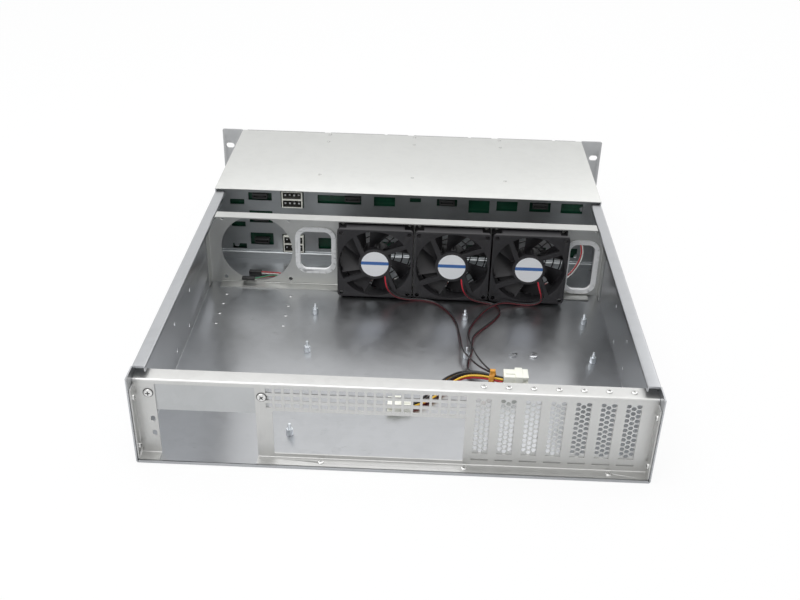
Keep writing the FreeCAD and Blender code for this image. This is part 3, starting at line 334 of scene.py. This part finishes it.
# red lead strands with painted shade where they lie near the floor
LEAD_RED_SHADED = insulation("lead_red_floor_shaded", (0.50, 0.012, 0.03), (0.11, 0.005, 0.012))
YELLOW_WIRE = insulation("yellow_wire", (0.75, 0.45, 0.03))
WHITE_WIRE = insulation("white_wire", (0.62, 0.61, 0.58))
GREEN_WIRE = insulation("green_wire", (0.03, 0.25, 0.12))
ORANGE_TIE = moulded("orange_tie", (0.66, 0.29, 0.03), 0.35)
LABEL_WHITE = paper("label_white", (0.92, 0.93, 0.95))
LABEL_BLUE = paper("label_blue", (0.05, 0.16, 0.45))


# ---- camera --------------------------------------------------------------------------
CAMERA_PLACE = (0.01611, Y_REAR - 0.63548, 0.54218)
CAMERA_TURN = (-1.22, 30.49, 1.58)        # yaw, pitch downwards and roll, in degrees
CAMERA_LENS = 44.3                        # mm, on a sensor 36 mm wide


def add_camera():
    yaw, pitch, roll = (math.radians(angle) for angle in CAMERA_TURN)
    ahead = Vector((math.sin(yaw) * math.cos(pitch), math.cos(yaw) * math.cos(pitch), -math.sin(pitch)))
    right = Vector((math.cos(yaw), -math.sin(yaw), 0))
    up = right.cross(ahead)
    tilted_right = math.cos(roll) * right + math.sin(roll) * up
    tilted_up = math.cos(roll) * up - math.sin(roll) * right
    data = bpy.data.cameras.new("camera")
    data.sensor_width = 36
    data.lens = CAMERA_LENS
    data.clip_start = 0.01
    data.clip_end = 50
    camera = bpy.data.objects.new("camera", data)
    bpy.context.scene.collection.objects.link(camera)
    camera.rotation_mode = "QUATERNION"
    camera.rotation_quaternion = Matrix((tilted_right, tilted_up, -ahead)).transposed().to_quaternion()
    camera.location = CAMERA_PLACE
    bpy.context.scene.camera = camera


# ---- light, floor and world ----------------------------------------------------------
def add_softbox(name, place, target, size, power):
    """Area lamp that faces its target; size is its width and height in metres, power is in watts."""
    data = bpy.data.lights.new(name, "AREA")
    data.shape = "RECTANGLE"
    data.size, data.size_y = size
    data.energy = power
    lamp = bpy.data.objects.new(name, data)
    bpy.context.scene.collection.objects.link(lamp)
    lamp.location = place
    lamp.rotation_mode = "QUATERNION"
    lamp.rotation_quaternion = (Vector(target) - Vector(place)).to_track_quat("-Z", "Y")


HORIZON_LIGHT = 0.30
OVERHEAD_LIGHT = 0.80


def add_world():
    """White to the camera and in reflections; its light is dim round the horizon and bright overhead."""
    world = bpy.data.worlds.new("studio")
    bpy.context.scene.world = world
    world.use_nodes = True
    nodes, links = world.node_tree.nodes, world.node_tree.links
    nodes.clear()
    path = nodes.new("ShaderNodeLightPath")
    seen = nodes.new("ShaderNodeMath")
    seen.operation = "MAXIMUM"
    links.new(path.outputs["Is Camera Ray"], seen.inputs[0])
    mirrored = nodes.new("ShaderNodeMath")
    mirrored.operation = "MAXIMUM"
    links.new(path.outputs["Is Glossy Ray"], mirrored.inputs[0])
    links.new(path.outputs["Is Transmission Ray"], mirrored.inputs[1])
    links.new(mirrored.outputs[0], seen.inputs[1])
    backdrop = nodes.new("ShaderNodeBackground")
    backdrop.inputs["Color"].default_value = (1, 1, 1, 1)
    ambient = nodes.new("ShaderNodeBackground")
    ambient.inputs["Color"].default_value = (0.97, 0.985, 1.0, 1)
    place = nodes.new("ShaderNodeTexCoord")
    parts = nodes.new("ShaderNodeSeparateXYZ")
    links.new(place.outputs["Generated"], parts.inputs[0])
    rise = nodes.new("ShaderNodeMapRange")
    rise.inputs["From Min"].default_value = 0.0
    rise.inputs["From Max"].default_value = 1.0
    rise.inputs["To Min"].default_value = HORIZON_LIGHT
    rise.inputs["To Max"].default_value = OVERHEAD_LIGHT
    links.new(parts.outputs["Z"], rise.inputs["Value"])
    links.new(rise.outputs["Result"], ambient.inputs["Strength"])
    chosen = nodes.new("ShaderNodeMixShader")
    links.new(seen.outputs[0], chosen.inputs["Fac"])
    links.new(ambient.outputs[0], chosen.inputs[1])
    links.new(backdrop.outputs[0], chosen.inputs[2])
    output = nodes.new("ShaderNodeOutputWorld")
    links.new(chosen.outputs[0], output.inputs["Surface"])


def add_floor():
    """Pale floor that reads white and keeps the soft shadow."""
    deselect()
    bpy.ops.mesh.primitive_plane_add(size=14, location=(0, 0, -0.0004))
    floor = settle(bpy.context.active_object, "floor")
    f = Finish("floor_paint")
    nodes, links = f.tree.nodes, f.tree.links
    f.coat(Base_Color=(0.86, 0.86, 0.86), Roughness=0.9)
    glow = f.node("ShaderNodeEmission", {}, {"Color": (1.0, 1.0, 1.0), "Strength": 1.0})
    seen = f.node("ShaderNodeLightPath", {}, {}, "Is Camera Ray")
    mixed = f.node("ShaderNodeMixShader", {}, {0: seen * 0.9})
    links.new(f.surface.outputs[0], mixed.socket.node.inputs[1])
    links.new(glow.socket, mixed.socket.node.inputs[2])
    links.new(mixed.socket, nodes["Material Output"].inputs["Surface"])
    floor.data.materials.append(f.material)


add_camera()
add_world()
add_floor()
add_softbox("overhead", (-0.3, 0.1, 1.9), (0, 0.1, 0), (2.2, 1.6), 23)
add_softbox("rear_left", (-1.3, -1.5, 1.3), (0, -0.1, 0), (1.2, 1.2), 7)
add_softbox("front_right", (1.3, 1.2, 1.4), (0, 0.1, 0), (1.2, 1.2), 6)
bpy.context.scene.view_settings.view_transform = "Standard"


# ---- leads ---------------------------------------------------------------------------
def at(x, y, z):
    """A point given in millimetres from the rear edge of the case."""
    return Vector((x * MM, Y_REAR + y * MM, z * MM))


# Routes of the leads, as points for at().
FAN_LEADS = (
    ((-19.6, 284.8, 29.0), (-19.0, 281.4, 22.4), (-15.4, 280.0, 13.4), (-7.0, 280.4, 6.4), (5.6, 282.0, 3.2),
     (20.0, 283.4, 2.7), (33.4, 279.6, 2.8), (43.8, 268.6, 2.7), (52.6, 253.0, 2.8), (57.8, 235.6, 2.8),
     (59.2, 217.4, 4.4), (60.2, 201.0, 7.4), (60.4, 187.0, 9.6), (62.0, 175.0, 10.2), (66.8, 164.0, 10.6),
     (73.2, 152.0, 11.0), (80.6, 141.4, 12.0), (88.4, 134.2, 13.2)),
    ((62.1, 284.8, 29.0), (62.7, 281.4, 22.4), (66.4, 280.0, 13.4), (74.6, 280.2, 6.6), (85.6, 281.8, 3.2),
     (96.4, 280.4, 2.7), (103.4, 271.4, 2.8), (103.2, 259.6, 2.7), (96.4, 246.0, 2.8), (86.4, 231.6, 2.9),
     (76.8, 217.6, 3.6), (72.2, 202.8, 6.2), (71.6, 188.0, 8.2), (71.2, 176.0, 8.2), (67.4, 164.6, 6.2),
     (65.8, 153.6, 4.8), (68.6, 144.6, 6.2), (75.0, 138.6, 8.4)),
    ((143.8, 284.8, 29.0), (145.6, 281.4, 22.4), (149.0, 280.0, 13.0), (146.4, 280.4, 5.6),
     (136.4, 280.8, 2.8), (123.6, 281.6, 3.0), (111.4, 280.0, 5.6), (100.0, 274.0, 6.8), (88.2, 264.2, 5.0),
     (78.8, 248.6, 3.4),
     (71.2, 231.0, 3.4), (68.0, 213.4, 6.2), (68.4, 198.0, 9.8), (70.2, 184.0, 12.2), (72.2, 173.0, 12.8),
     (75.8, 161.0, 12.6), (81.0, 150.0, 12.0), (86.2, 141.6, 11.8), (90.4, 134.6, 12.0)),
)
BUNDLE = ((99.0, 128.0, 9.4), (88.0, 131.6, 9.6), (75.0, 135.2, 9.8), (61.5, 135.6, 8.8), (49.5, 129.0, 7.0),
          (40.6, 118.6, 5.8), (33.4, 106.6, 5.4), (24.6, 95.6, 5.4), (14.0, 88.0, 5.8))
PANEL_LEAD = ((199.4, 375.2, 33.0), (199.4, 364.4, 32.6), (198.6, 351.6, 28.0), (192.6, 340.0, 20.4),
              (183.0, 331.0, 12.4), (169.6, 326.0, 6.2), (152.0, 323.0, 3.4), (122.0, 324.6, 3.2),
              (88.0, 321.6, 3.2), (50.0, 324.6, 3.2), (10.0, 321.6, 3.2), (-30.0, 324.6, 3.2),
              (-70.0, 321.8, 3.2), (-104.0, 324.8, 3.2), (-128.0, 324.0, 3.6), (-146.0, 327.2, 3.8),
              (-160.5, 327.6, 3.8))
PANEL_BRANCH = ((-126.0, 321.4, 4.2), (-138.0, 317.6, 6.2), (-149.0, 312.8, 8.4), (-157.0, 308.0, 8.8),
                (-164.6, 305.8, 8.4))


# Thickness of each lead's wires, and how far their middles lie from the lead's line.
FAN_WIRE = 0.0015
FAN_WIRE_OUT = 0.00072
BUNDLE_WIRE = 0.0019
BUNDLE_WIRE_OUT = 0.0023
PANEL_WIRE = 0.0014
PANEL_WIRE_OUT = 0.0011
BRANCH_WIRE = 0.0011
BRANCH_WIRE_OUT = 0.00058
LEAD_IN = 0.035               # length over which the strands swing in from the fan


def route_line(route):
    """Points read along the smooth line of a route."""
    data = bpy.data.curves.new("route", "CURVE")
    data.dimensions = "3D"
    data.resolution_u = 8
    spline = data.splines.new("NURBS")
    spline.points.add(len(route) - 1)
    for point, place in zip(spline.points, route):
        point.co = (*at(*place), 1)
    spline.order_u = 3
    spline.use_endpoint_u = True
    holder = bpy.data.objects.new("route", data)
    bpy.context.scene.collection.objects.link(holder)
    line = bpy.data.meshes.new_from_object(holder)
    points = [v.co.copy() for v in line.vertices]
    bpy.data.objects.remove(holder)
    bpy.data.meshes.remove(line)
    return points


def strand_line(line, offset, turn, twist, widen=0.0, lead_in=0.0):
    """The line moved aside by offset, turning slowly round it; twist is in turns per metre.

    Halfway along, the strands lie 1 + widen times as far apart sideways. At the start they
    are turned further by lead_in, which dies away over the length LEAD_IN."""
    points = []
    side = None
    travelled = 0.0
    for i, point in enumerate(line):
        before, after = line[max(i - 1, 0)], line[min(i + 1, len(line) - 1)]
        along = (after - before).normalized()
        level = along.cross(Vector((0, 0, 1)))
        side = level if side is None or level.length > 0.2 else side - along * side.dot(along)
        side.normalize()
        if i:
            travelled += (point - line[i - 1]).length
        swing = lead_in * max(0.0, 1 - travelled / LEAD_IN)
        angle = turn + 2 * math.pi * twist * travelled + swing
        wide = 1 + widen * math.sin(math.pi * i / (len(line) - 1))
        aside = wide * math.cos(angle) * side - math.sin(angle) * along.cross(side)
        points.append(point + offset * aside)
    return points


def wire(name, points, diameter, material, replaces=(), ends=()):
    """A round wire along the points, as a closed tube."""
    data = bpy.data.curves.new(name, "CURVE")
    data.dimensions = "3D"
    data.bevel_depth = diameter / 2
    data.bevel_resolution = 2
    data.use_fill_caps = True
    spline = data.splines.new("POLY")
    spline.points.add(len(points) - 1)
    for point, place in zip(spline.points, points):
        point.co = (*place, 1)
    obj = bpy.data.objects.new(name, data)
    bpy.context.scene.collection.objects.link(obj)
    activate(obj)
    bpy.ops.object.convert(target="MESH")
    obj = bpy.context.view_layer.objects.active
    obj.name = name
    smooth(obj, 60)
    dress(obj, material, replaces=replaces)
    length = sum((b - a).length for a, b in zip(points, points[1:]))


def add_fan_leads():
    """Two strands for each fan, the black one mostly above the red one."""
    for i, route in enumerate(FAN_LEADS):
        line = route_line(route)
        node = "fan_lead_%d" % (i + 1)
        for finish, name, turn in ((BLACK_WIRE, "_black", 85), (LEAD_RED_SHADED, "_red", 265)):
            strand = strand_line(line, FAN_WIRE_OUT, math.radians(turn), -0.3, lead_in=math.radians(85))
            wire(node + name, strand, FAN_WIRE, finish, [node] if name == "_black" else ())


def add_bundle():
    """Six coloured wires round a black one, held by the tie, between the ivory plugs."""
    line = route_line(BUNDLE)
    tie = refined("cable_tie", "tie_strap", ORANGE_TIE)
    wire("bundle_core", line, BUNDLE_WIRE, BLACK_WIRE, ["wire_bundle"],
         [add_plugs(), tie])
    around = [BLACK_WIRE, YELLOW_WIRE, RED_WIRE, RED_WIRE, YELLOW_WIRE, BLACK_WIRE]
    for i, material in enumerate(around):
        strand = strand_line(line, BUNDLE_WIRE_OUT, math.radians(60 * i + 75), 1.2, 1.1)
        wire("bundle_wire_%d" % (i + 1), strand, BUNDLE_WIRE, material, ())


def add_panel_leads():
    """Four wires from the backplane to the spare fan opening, and a short twisted pair beside them."""
    line = route_line(PANEL_LEAD)
    plugs = refined("panel_plugs", "black_plugs", SOCKET, bevel=0.0003)
    colours = [RED_WIRE, WHITE_WIRE, BLACK_WIRE, WHITE_WIRE]
    for i, material in enumerate(colours):
        strand = strand_line(line, PANEL_WIRE_OUT, math.radians(90 * i + 30), 3, 0.5)
        wire("panel_wire_%d" % (i + 1), strand, PANEL_WIRE, material,
             ["panel_lead"] if i == 0 else (), ends=[plugs] if i == 0 else ())
    line = route_line(PANEL_BRANCH)
    strand = strand_line(line, BRANCH_WIRE_OUT, 0.4, 8)
    wire("branch_green", strand, BRANCH_WIRE, GREEN_WIRE, ["panel_lead_branch"])
    strand = strand_line(line, BRANCH_WIRE_OUT, 0.4 + math.pi, 8)
    wire("branch_red", strand, BRANCH_WIRE, RED_WIRE)


def refined(node, name, material, body="case", bevel=0.0):
    """A dressed copy of a node that stands for it."""
    return dress(cad_copy(node, name, bevel), material, body, [node])


# Body, rim and nose of a plug: start and share of its length, and how much narrower on each
# side and lower than the rim, in mm.
PLUG_STEPS = ((0.0, 0.46, 1.4, 1.2), (0.46, 0.30, 0.0, 0.0), (0.76, 0.24, 0.9, 0.8))
PLUG_POLES = 4
PLUG_PITCH = 4.1
PLUG_DEPTH = 16.4


def plug_shell(x, width, y, z, height, mouth):
    """One plug, in mm: body, rim, a nose with four square mouths, and a latch on top."""
    way = -1 if mouth == "left" else 1
    shells = []
    for start, share, narrow, lower in PLUG_STEPS:
        from_x, to_x = sorted((x + way * start * width, x + way * (start + share) * width))
        deselect()
        bpy.ops.mesh.primitive_cube_add(size=1, location=((from_x + to_x) / 2 * MM, Y_REAR + y * MM,
                                                          (z + (height - lower) / 2) * MM))
        shell = bpy.context.active_object
        shell.scale = ((to_x - from_x + 0.02) * MM, (PLUG_DEPTH - 2 * narrow) * MM, (height - lower) * MM)
        shells.append(settle(shell, "shell"))
    nose = shells[2]
    heights = [corner.co.z for corner in nose.data.vertices]
    middle = (min(heights) + max(heights)) / 2
    for k in range(PLUG_POLES):
        pole = Y_REAR + (y + PLUG_PITCH * (k - (PLUG_POLES - 1) / 2)) * MM
        deselect()
        bpy.ops.mesh.primitive_cube_add(size=1, location=((x + way * width) * MM, pole, middle))
        cutter = bpy.context.active_object
        cutter.scale = (9 * MM, 3.0 * MM, 3.4 * MM)
        carve(nose, cutter)
    deselect()
    bpy.ops.mesh.primitive_cube_add(size=1, location=((x + way * 0.34 * width) * MM, Y_REAR + y * MM,
                                                      (z + height - 0.9) * MM))
    latch = bpy.context.active_object
    latch.scale = (0.5 * width * MM, 4.4 * MM, 1.6 * MM)
    shells.append(settle(latch, "latch"))
    for shell in shells:
        round_edges(shell, 0.25 * MM)
    return joined(shells, "plug")


def add_plugs():
    """Two plugs, one on the other, beside the tie, and one at the bundle's other end."""
    low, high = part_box("power_plugs")
    tall = (high.z - low.z) / 2 / MM
    base = low.z / MM
    (right_x, right_y, _), (left_x, left_y, _) = BUNDLE[0], BUNDLE[-1]
    plugs = joined([plug_shell(right_x, 22.0, right_y - 2.4, base, tall, "right"),
                    plug_shell(right_x, 22.9, right_y, base + tall, tall, "right"),
                    plug_shell(left_x, 22.0, left_y, base, tall, "left")], "ivory_plugs")
    smooth(plugs, 35)
    return dress(plugs, IVORY, replaces=["power_plugs"])


add_fan_leads()
add_bundle()
add_panel_leads()


# ---- fasteners -----------------------------------------------------------------------
def pan_head(size=5.6 * MM, height=2.0 * MM):
    """Round head with a rolled edge and a cross recess, its underside at the origin, pointing up."""
    deselect()
    bpy.ops.mesh.primitive_cylinder_add(vertices=24, radius=size / 2, depth=height,
                                        location=(0, 0, height / 2))
    head = bpy.context.active_object
    select_faces(head, lambda c, n: n.z > 0.9)
    bpy.ops.mesh.inset(thickness=0.16 * size)
    bpy.ops.transform.translate(value=(0, 0, 0.12 * height))
    bpy.ops.object.mode_set(mode="OBJECT")
    round_edges(head, 0.28 * height, 3)
    for turn in (0, math.pi / 2):
        deselect()
        bpy.ops.mesh.primitive_cube_add(size=1, location=(0, 0, height), rotation=(0, 0, turn))
        cutter = bpy.context.active_object
        cutter.scale = (0.52 * size, 0.13 * size, height)
        carve(head, cutter)
    smooth(head, 35)
    return head


def placed_copies(template, places, name):
    """One piece made of copies of a template, each at a point and pointing along a direction."""
    copies = []
    for i, (point, direction) in enumerate(places):
        copy = bpy.data.objects.new(name, template.data.copy())
        bpy.context.scene.collection.objects.link(copy)
        turn = Vector(direction).to_track_quat("Z", "Y").to_matrix().to_4x4()
        spin = Matrix.Rotation(0.7 * i, 4, "Z")
        copy.data.transform(Matrix.Translation(point) @ turn @ spin)
        copies.append(copy)
    bpy.data.objects.remove(template)
    return joined(copies, name)


FAN_HOLE_REACH = 35.75 * MM   # half the distance between the holes of an 80 mm fan


def fan_corners(i):
    """Middles of the four screw holes of fan i."""
    low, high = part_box("fan_frame_%d" % (i + 1))
    centre = (low + high) / 2
    reach = FAN_HOLE_REACH
    return [centre + Vector((dx * reach, 0, dz * reach)) for dx in (-1, 1) for dz in (-1, 1)]


def add_screws():
    """Screws of the slot covers, the rear panel and the supply bracket."""
    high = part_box("rear_panel")[1]
    bracket_low, bracket_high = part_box("psu_bracket")
    face = Y_REAR + 12.0 * MM
    places = []
    for i in range(7):
        slot_low, slot_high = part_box("slot_cover_%d" % (i + 1))
        places.append((Vector(((slot_low.x + slot_high.x) / 2, Y_REAR + 20.5 * MM, high.z)), (0, 0, 1)))
    for x in (-60.5, 59.8, 181.0):
        places.append((at(x, 7.0, 2.4), (0, 0, 1)))
    for side in (-1, 1):
        for z in (62.5, 13.0):
            places.append((Vector((side * (high.x - 1.2 * MM), Y_REAR + 7.0 * MM, z * MM)), (-side, 0, 0)))
    screws = placed_copies(pan_head(), places, "case_screws")
    dress(screws, SCREW, replaces=["pan_head_screws"])
    places = [(Vector((x, face, 64.0 * MM)), (0, -1, 0))
              for x in (bracket_low.x + 5.5 * MM, bracket_high.x - 5.5 * MM)]
    dress(placed_copies(pan_head(7.6 * MM, 2.4 * MM), places, "bracket_screws"), SCREW)
    dress(placed_copies(washer(4.4 * MM), places, "bracket_washers_and_shade"), SHADOW_PAINT)


def washer(radius):
    """Thin dark ring that stands for the lock washer under a head and the painted shadow of the gap there."""
    deselect()
    bpy.ops.mesh.primitive_cylinder_add(vertices=32, radius=radius, depth=0.5 * MM,
                                        location=(0, 0, 0.25 * MM))
    ring = bpy.context.active_object
    select_faces(ring, lambda c, n: n.z > 0.9)
    bpy.ops.mesh.inset(thickness=0.25 * radius)
    bpy.ops.transform.translate(value=(0, 0, 0.15 * MM))
    bpy.ops.object.mode_set(mode="OBJECT")
    return ring


def add_guard_screws():
    """Screws at the corners of the fans, on the guards."""
    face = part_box("fan_guard_1")[1].y
    places = []
    for i in range(3):
        for corner in fan_corners(i):
            places.append((Vector((corner.x, face, corner.z)), (0, 1, 0)))
    dress(placed_copies(pan_head(6.4 * MM, 1.8 * MM), places, "guard_screws"), SCREW)


def add_rivets():
    """Flush rivets that hold the fixed cover to the dividers, each in a ring painted dark as the shade of its
    recess.
    """
    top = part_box("front_cover")[1].z
    places = []
    for k in range(3):
        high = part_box("cage_divider_%d" % (k + 1))[1]
        for y in (414.0, 517.0, 541.0):
            places.append((Vector((high.x - 5.0 * MM, Y_REAR + y * MM, top - 0.2 * MM)), (0, 0, 1)))
    for name, radius, depth, finish in (("rivet_shade_rings", 1.9, 0.5, SHADOW_PAINT),
                                        ("cover_rivets", 1.2, 0.62, SCREW)):
        deselect()
        bpy.ops.mesh.primitive_cylinder_add(vertices=20, radius=radius * MM, depth=depth * MM,
                                            location=(0, 0, 0.1 * MM))
        rivet = bpy.context.active_object
        select_faces(rivet, lambda c, n: n.z > 0.9)
        bpy.ops.mesh.inset(thickness=0.3 * radius * MM)
        bpy.ops.transform.translate(value=(0, 0, -0.1 * MM))
        bpy.ops.object.mode_set(mode="OBJECT")
        dress(placed_copies(rivet, places, name), finish)


add_screws()
add_guard_screws()
add_rivets()


# ---- fans ----------------------------------------------------------------------------
GUARD_RINGS = (12.0 * MM, 20.5 * MM, 29.0 * MM, 37.0 * MM)


def add_guard(i):
    """Concentric wires on four arms that end in eyes under the screws."""
    node = "fan_guard_%d" % (i + 1)
    low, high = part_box(node)
    centre = (low + high) / 2
    gauge = (high.y - low.y) / 2 * 0.96
    parts = []
    for radius in GUARD_RINGS:
        deselect()
        bpy.ops.mesh.primitive_torus_add(major_radius=radius, minor_radius=gauge, major_segments=72,
                                         minor_segments=10, location=centre, rotation=(math.pi / 2, 0, 0))
        parts.append(bpy.context.active_object)
    for corner in fan_corners(i):
        corner = Vector((corner.x, centre.y, corner.z))
        out = (corner - centre).normalized()
        inner = centre + out * GUARD_RINGS[0]
        arm_length = (corner - inner).length - 2.4 * MM
        deselect()
        bpy.ops.mesh.primitive_cylinder_add(vertices=12, radius=gauge, depth=arm_length, location=(0, 0, 0))
        arm = bpy.context.active_object
        arm.rotation_mode = "QUATERNION"
        arm.rotation_quaternion = out.to_track_quat("Z", "Y")
        arm.location = inner + out * arm_length / 2
        parts.append(arm)
        deselect()
        bpy.ops.mesh.primitive_torus_add(major_radius=2.6 * MM, minor_radius=gauge, major_segments=28,
                                         minor_segments=10, location=corner, rotation=(math.pi / 2, 0, 0))
        parts.append(bpy.context.active_object)
    guard = joined(parts, "wire_guard_%d" % (i + 1))
    smooth(guard, 40)
    dress(guard, GUARD, replaces=[node])


LABEL_RADIUS = 14.6 * MM
BAND = (-0.8 * MM, 3.0 * MM)  # lower and upper edge of the blue band, from the label's middle


def add_label(i):
    """Round paper label with a plain blue band on the hub's rear face."""
    low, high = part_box("fan_frame_%d" % (i + 1))
    centre = Vector(((low.x + high.x) / 2, low.y - 0.08 * MM, (low.z + high.z) / 2))
    deselect()
    bpy.ops.mesh.primitive_cylinder_add(vertices=64, radius=LABEL_RADIUS, depth=0.16 * MM, location=centre,
                                        rotation=(math.pi / 2, 0, 0))
    disc = settle(bpy.context.active_object, "fan_label_%d" % (i + 1))
    activate(disc)
    bpy.ops.object.mode_set(mode="EDIT")
    for height in BAND:
        bpy.ops.mesh.select_all(action="SELECT")
        bpy.ops.mesh.bisect(plane_co=centre + Vector((0, 0, height)), plane_no=(0, 0, 1))
    bpy.ops.object.mode_set(mode="OBJECT")
    dress(disc, LABEL_WHITE)
    disc.data.materials.append(LABEL_BLUE)
    for face in disc.data.polygons:
        if BAND[0] < face.center.z - centre.z < BAND[1]:
            face.material_index = 1


for fan in range(3):
    add_guard(fan)
    add_label(fan)


# ---- finishes of the carried-over pieces ---------------------------------------------
def shift_corners(obj, test, shift):
    """Moves the corners that pass the test, as an upper or lower edge is moved by hand."""
    activate(obj)
    bpy.ops.object.mode_set(mode="EDIT")
    bpy.ops.mesh.select_mode(type="VERT")
    bpy.ops.mesh.select_all(action="DESELECT")
    bpy.ops.object.mode_set(mode="OBJECT")
    for corner in obj.data.vertices:
        corner.select = test(corner.co)
    bpy.ops.object.mode_set(mode="EDIT")
    bpy.ops.transform.translate(value=shift)
    bpy.ops.object.mode_set(mode="OBJECT")


def add_tray(k):
    """Drive tray whose bezel slopes down towards its front."""
    node = "drive_tray_%d" % k
    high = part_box(node)[1]
    tray = refined(node, "tray_%d" % k, TRAY, node)
    shift_corners(tray, lambda c: c.y > high.y - 1 * MM and c.z > high.z - 1 * MM, (0, 0, -4 * MM))


def add_ear_strip(side):
    """Plastic strip on an ear, short of its upper and lower edges."""
    node = "ear_trim_" + side
    low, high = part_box(node)
    strip = refined(node, "ear_strip_" + side, TRIM)
    shift_corners(strip, lambda c: c.z > high.z - 1.5 * MM, (0, 0, -4 * MM))
    shift_corners(strip, lambda c: c.z < low.z + 1.5 * MM, (0, 0, 3 * MM))


# One thread of a stud: out, along the crest, in and along the root, each with its rise in mm.
THREAD = ((1.13, 0.12), (1.0, 0.1), (1 / 1.13, 0.12), (1.0, 0.16))
THREADS = 16
STUD_CORE = 1.24 * MM
STUD_SUNK = 3 * MM            # length of a stud inside its spacer


def add_studs():
    """Hexagonal spacers, each with a threaded stud standing in its bore."""
    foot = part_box("board_standoffs")[1].z - STUD_SUNK
    spacers = cad_copy("board_standoffs", "spacers", 0.0002)
    groups = []                               # corners of each spacer, told apart by their distance
    for corner in spacers.data.vertices:
        near = [group for group in groups if (group[0] - corner.co).xy.length < 8 * MM]
        if near:
            near[0].append(corner.co.copy())
        else:
            groups.append([corner.co.copy()])
    places = []
    for group in groups:
        xs, ys = [c.x for c in group], [c.y for c in group]
        places.append((Vector(((min(xs) + max(xs)) / 2, (min(ys) + max(ys)) / 2, foot)), (0, 0, 1)))
    deselect()
    bpy.ops.mesh.primitive_cylinder_add(vertices=20, radius=STUD_CORE, depth=0.5 * MM,
                                        location=(0, 0, 0.25 * MM))
    stud = bpy.context.active_object
    select_faces(stud, lambda c, n: n.z > 0.9)
    for _ in range(THREADS):
        for radial, rise in THREAD:
            bpy.ops.mesh.extrude_region_move(TRANSFORM_OT_translate={"value": (0, 0, rise * MM)})
            bpy.ops.transform.resize(value=(radial, radial, 1))
    bpy.ops.object.mode_set(mode="OBJECT")
    studs = joined([spacers, placed_copies(stud, places, "studs")], "hex_studs")
    smooth(studs, 30)
    dress(studs, STUD, replaces=["board_standoffs"])


def paint(node, material):
    """Gives a node that is shown as it is its finish."""
    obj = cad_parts[node]
    obj.data.materials.clear()
    obj.data.materials.append(material)


SOCKET_STACK = 19.6 * MM      # height of two sockets, one on the other
PIN_PITCH = 5.08 * MM


def add_power_sockets():
    """Ivory shells with mouths painted dark as shade, and bright pins."""
    low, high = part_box("power_sockets")
    sockets = refined("power_sockets", "ivory_sockets", IVORY)
    sockets.data.materials.append(SHADE)
    sockets.data.materials.append(SCREW)
    middle = (low.x + high.x) / 2
    one = SOCKET_STACK / 2
    for face in sockets.data.polygons:
        c = face.center
        lower_stack = c.z < low.z + 1.1 * SOCKET_STACK
        above = (c.z - low.z if lower_stack else c.z - high.z + SOCKET_STACK) % one
        inside = abs(c.x - middle) < 10.6 * MM and 1.0 * MM < above < one - 0.6 * MM
        # faces inside the mouths get the painted shade, and the pins get bright metal
        if inside and low.y + 0.2 * MM < c.y < high.y - 0.5 * MM:
            pin = abs((c.x - middle) / PIN_PITCH % 1 - 0.5) < 0.14 and 4.2 * MM < above < 5.8 * MM
            face.material_index = 2 if pin else 1


for fan in range(1, 4):
    refined("fan_frame_%d" % fan, "fan_housing_%d" % fan, FAN_PLASTIC, bevel=0.0002)
    refined("fan_rotor_%d" % fan, "fan_impeller_%d" % fan, FAN_PLASTIC, "fan_rotor_%d" % fan)
for side in ("left", "right"):
    refined("rack_ear_" + side, "ear_bracket_" + side, EAR, bevel=0.0003)
    add_ear_strip(side)
    refined("cable_grommet_" + side, "edge_liner_" + side, GROMMET)
for k in range(1, 13):
    add_tray(k)
for k in range(1, 4):
    paint("cage_divider_%d" % k, STEEL_PLATE)
for k in range(1, 8):
    paint("slot_cover_%d" % k, STEEL_SLOT)
refined("power_button", "button_cap", TRIM, "power_button")
add_power_sockets()
refined("sata_sockets", "black_sockets", SOCKET, bevel=0.0002)
add_studs()
refined("fan_wall", "fan_bulkhead", STEEL_BAR)
refined("chassis_tray", "case_tray", STEEL)
refined("rear_panel", "rear_face", STEEL_PANEL)
refined("psu_bracket", "supply_bracket", BRACKET)
refined("backplane_plate", "backplane_carrier", STEEL_PLATE)
paint("backplane_board", BOARD)
refined("front_cover", "fixed_cover", STEEL_COVER, bevel=0.0002)
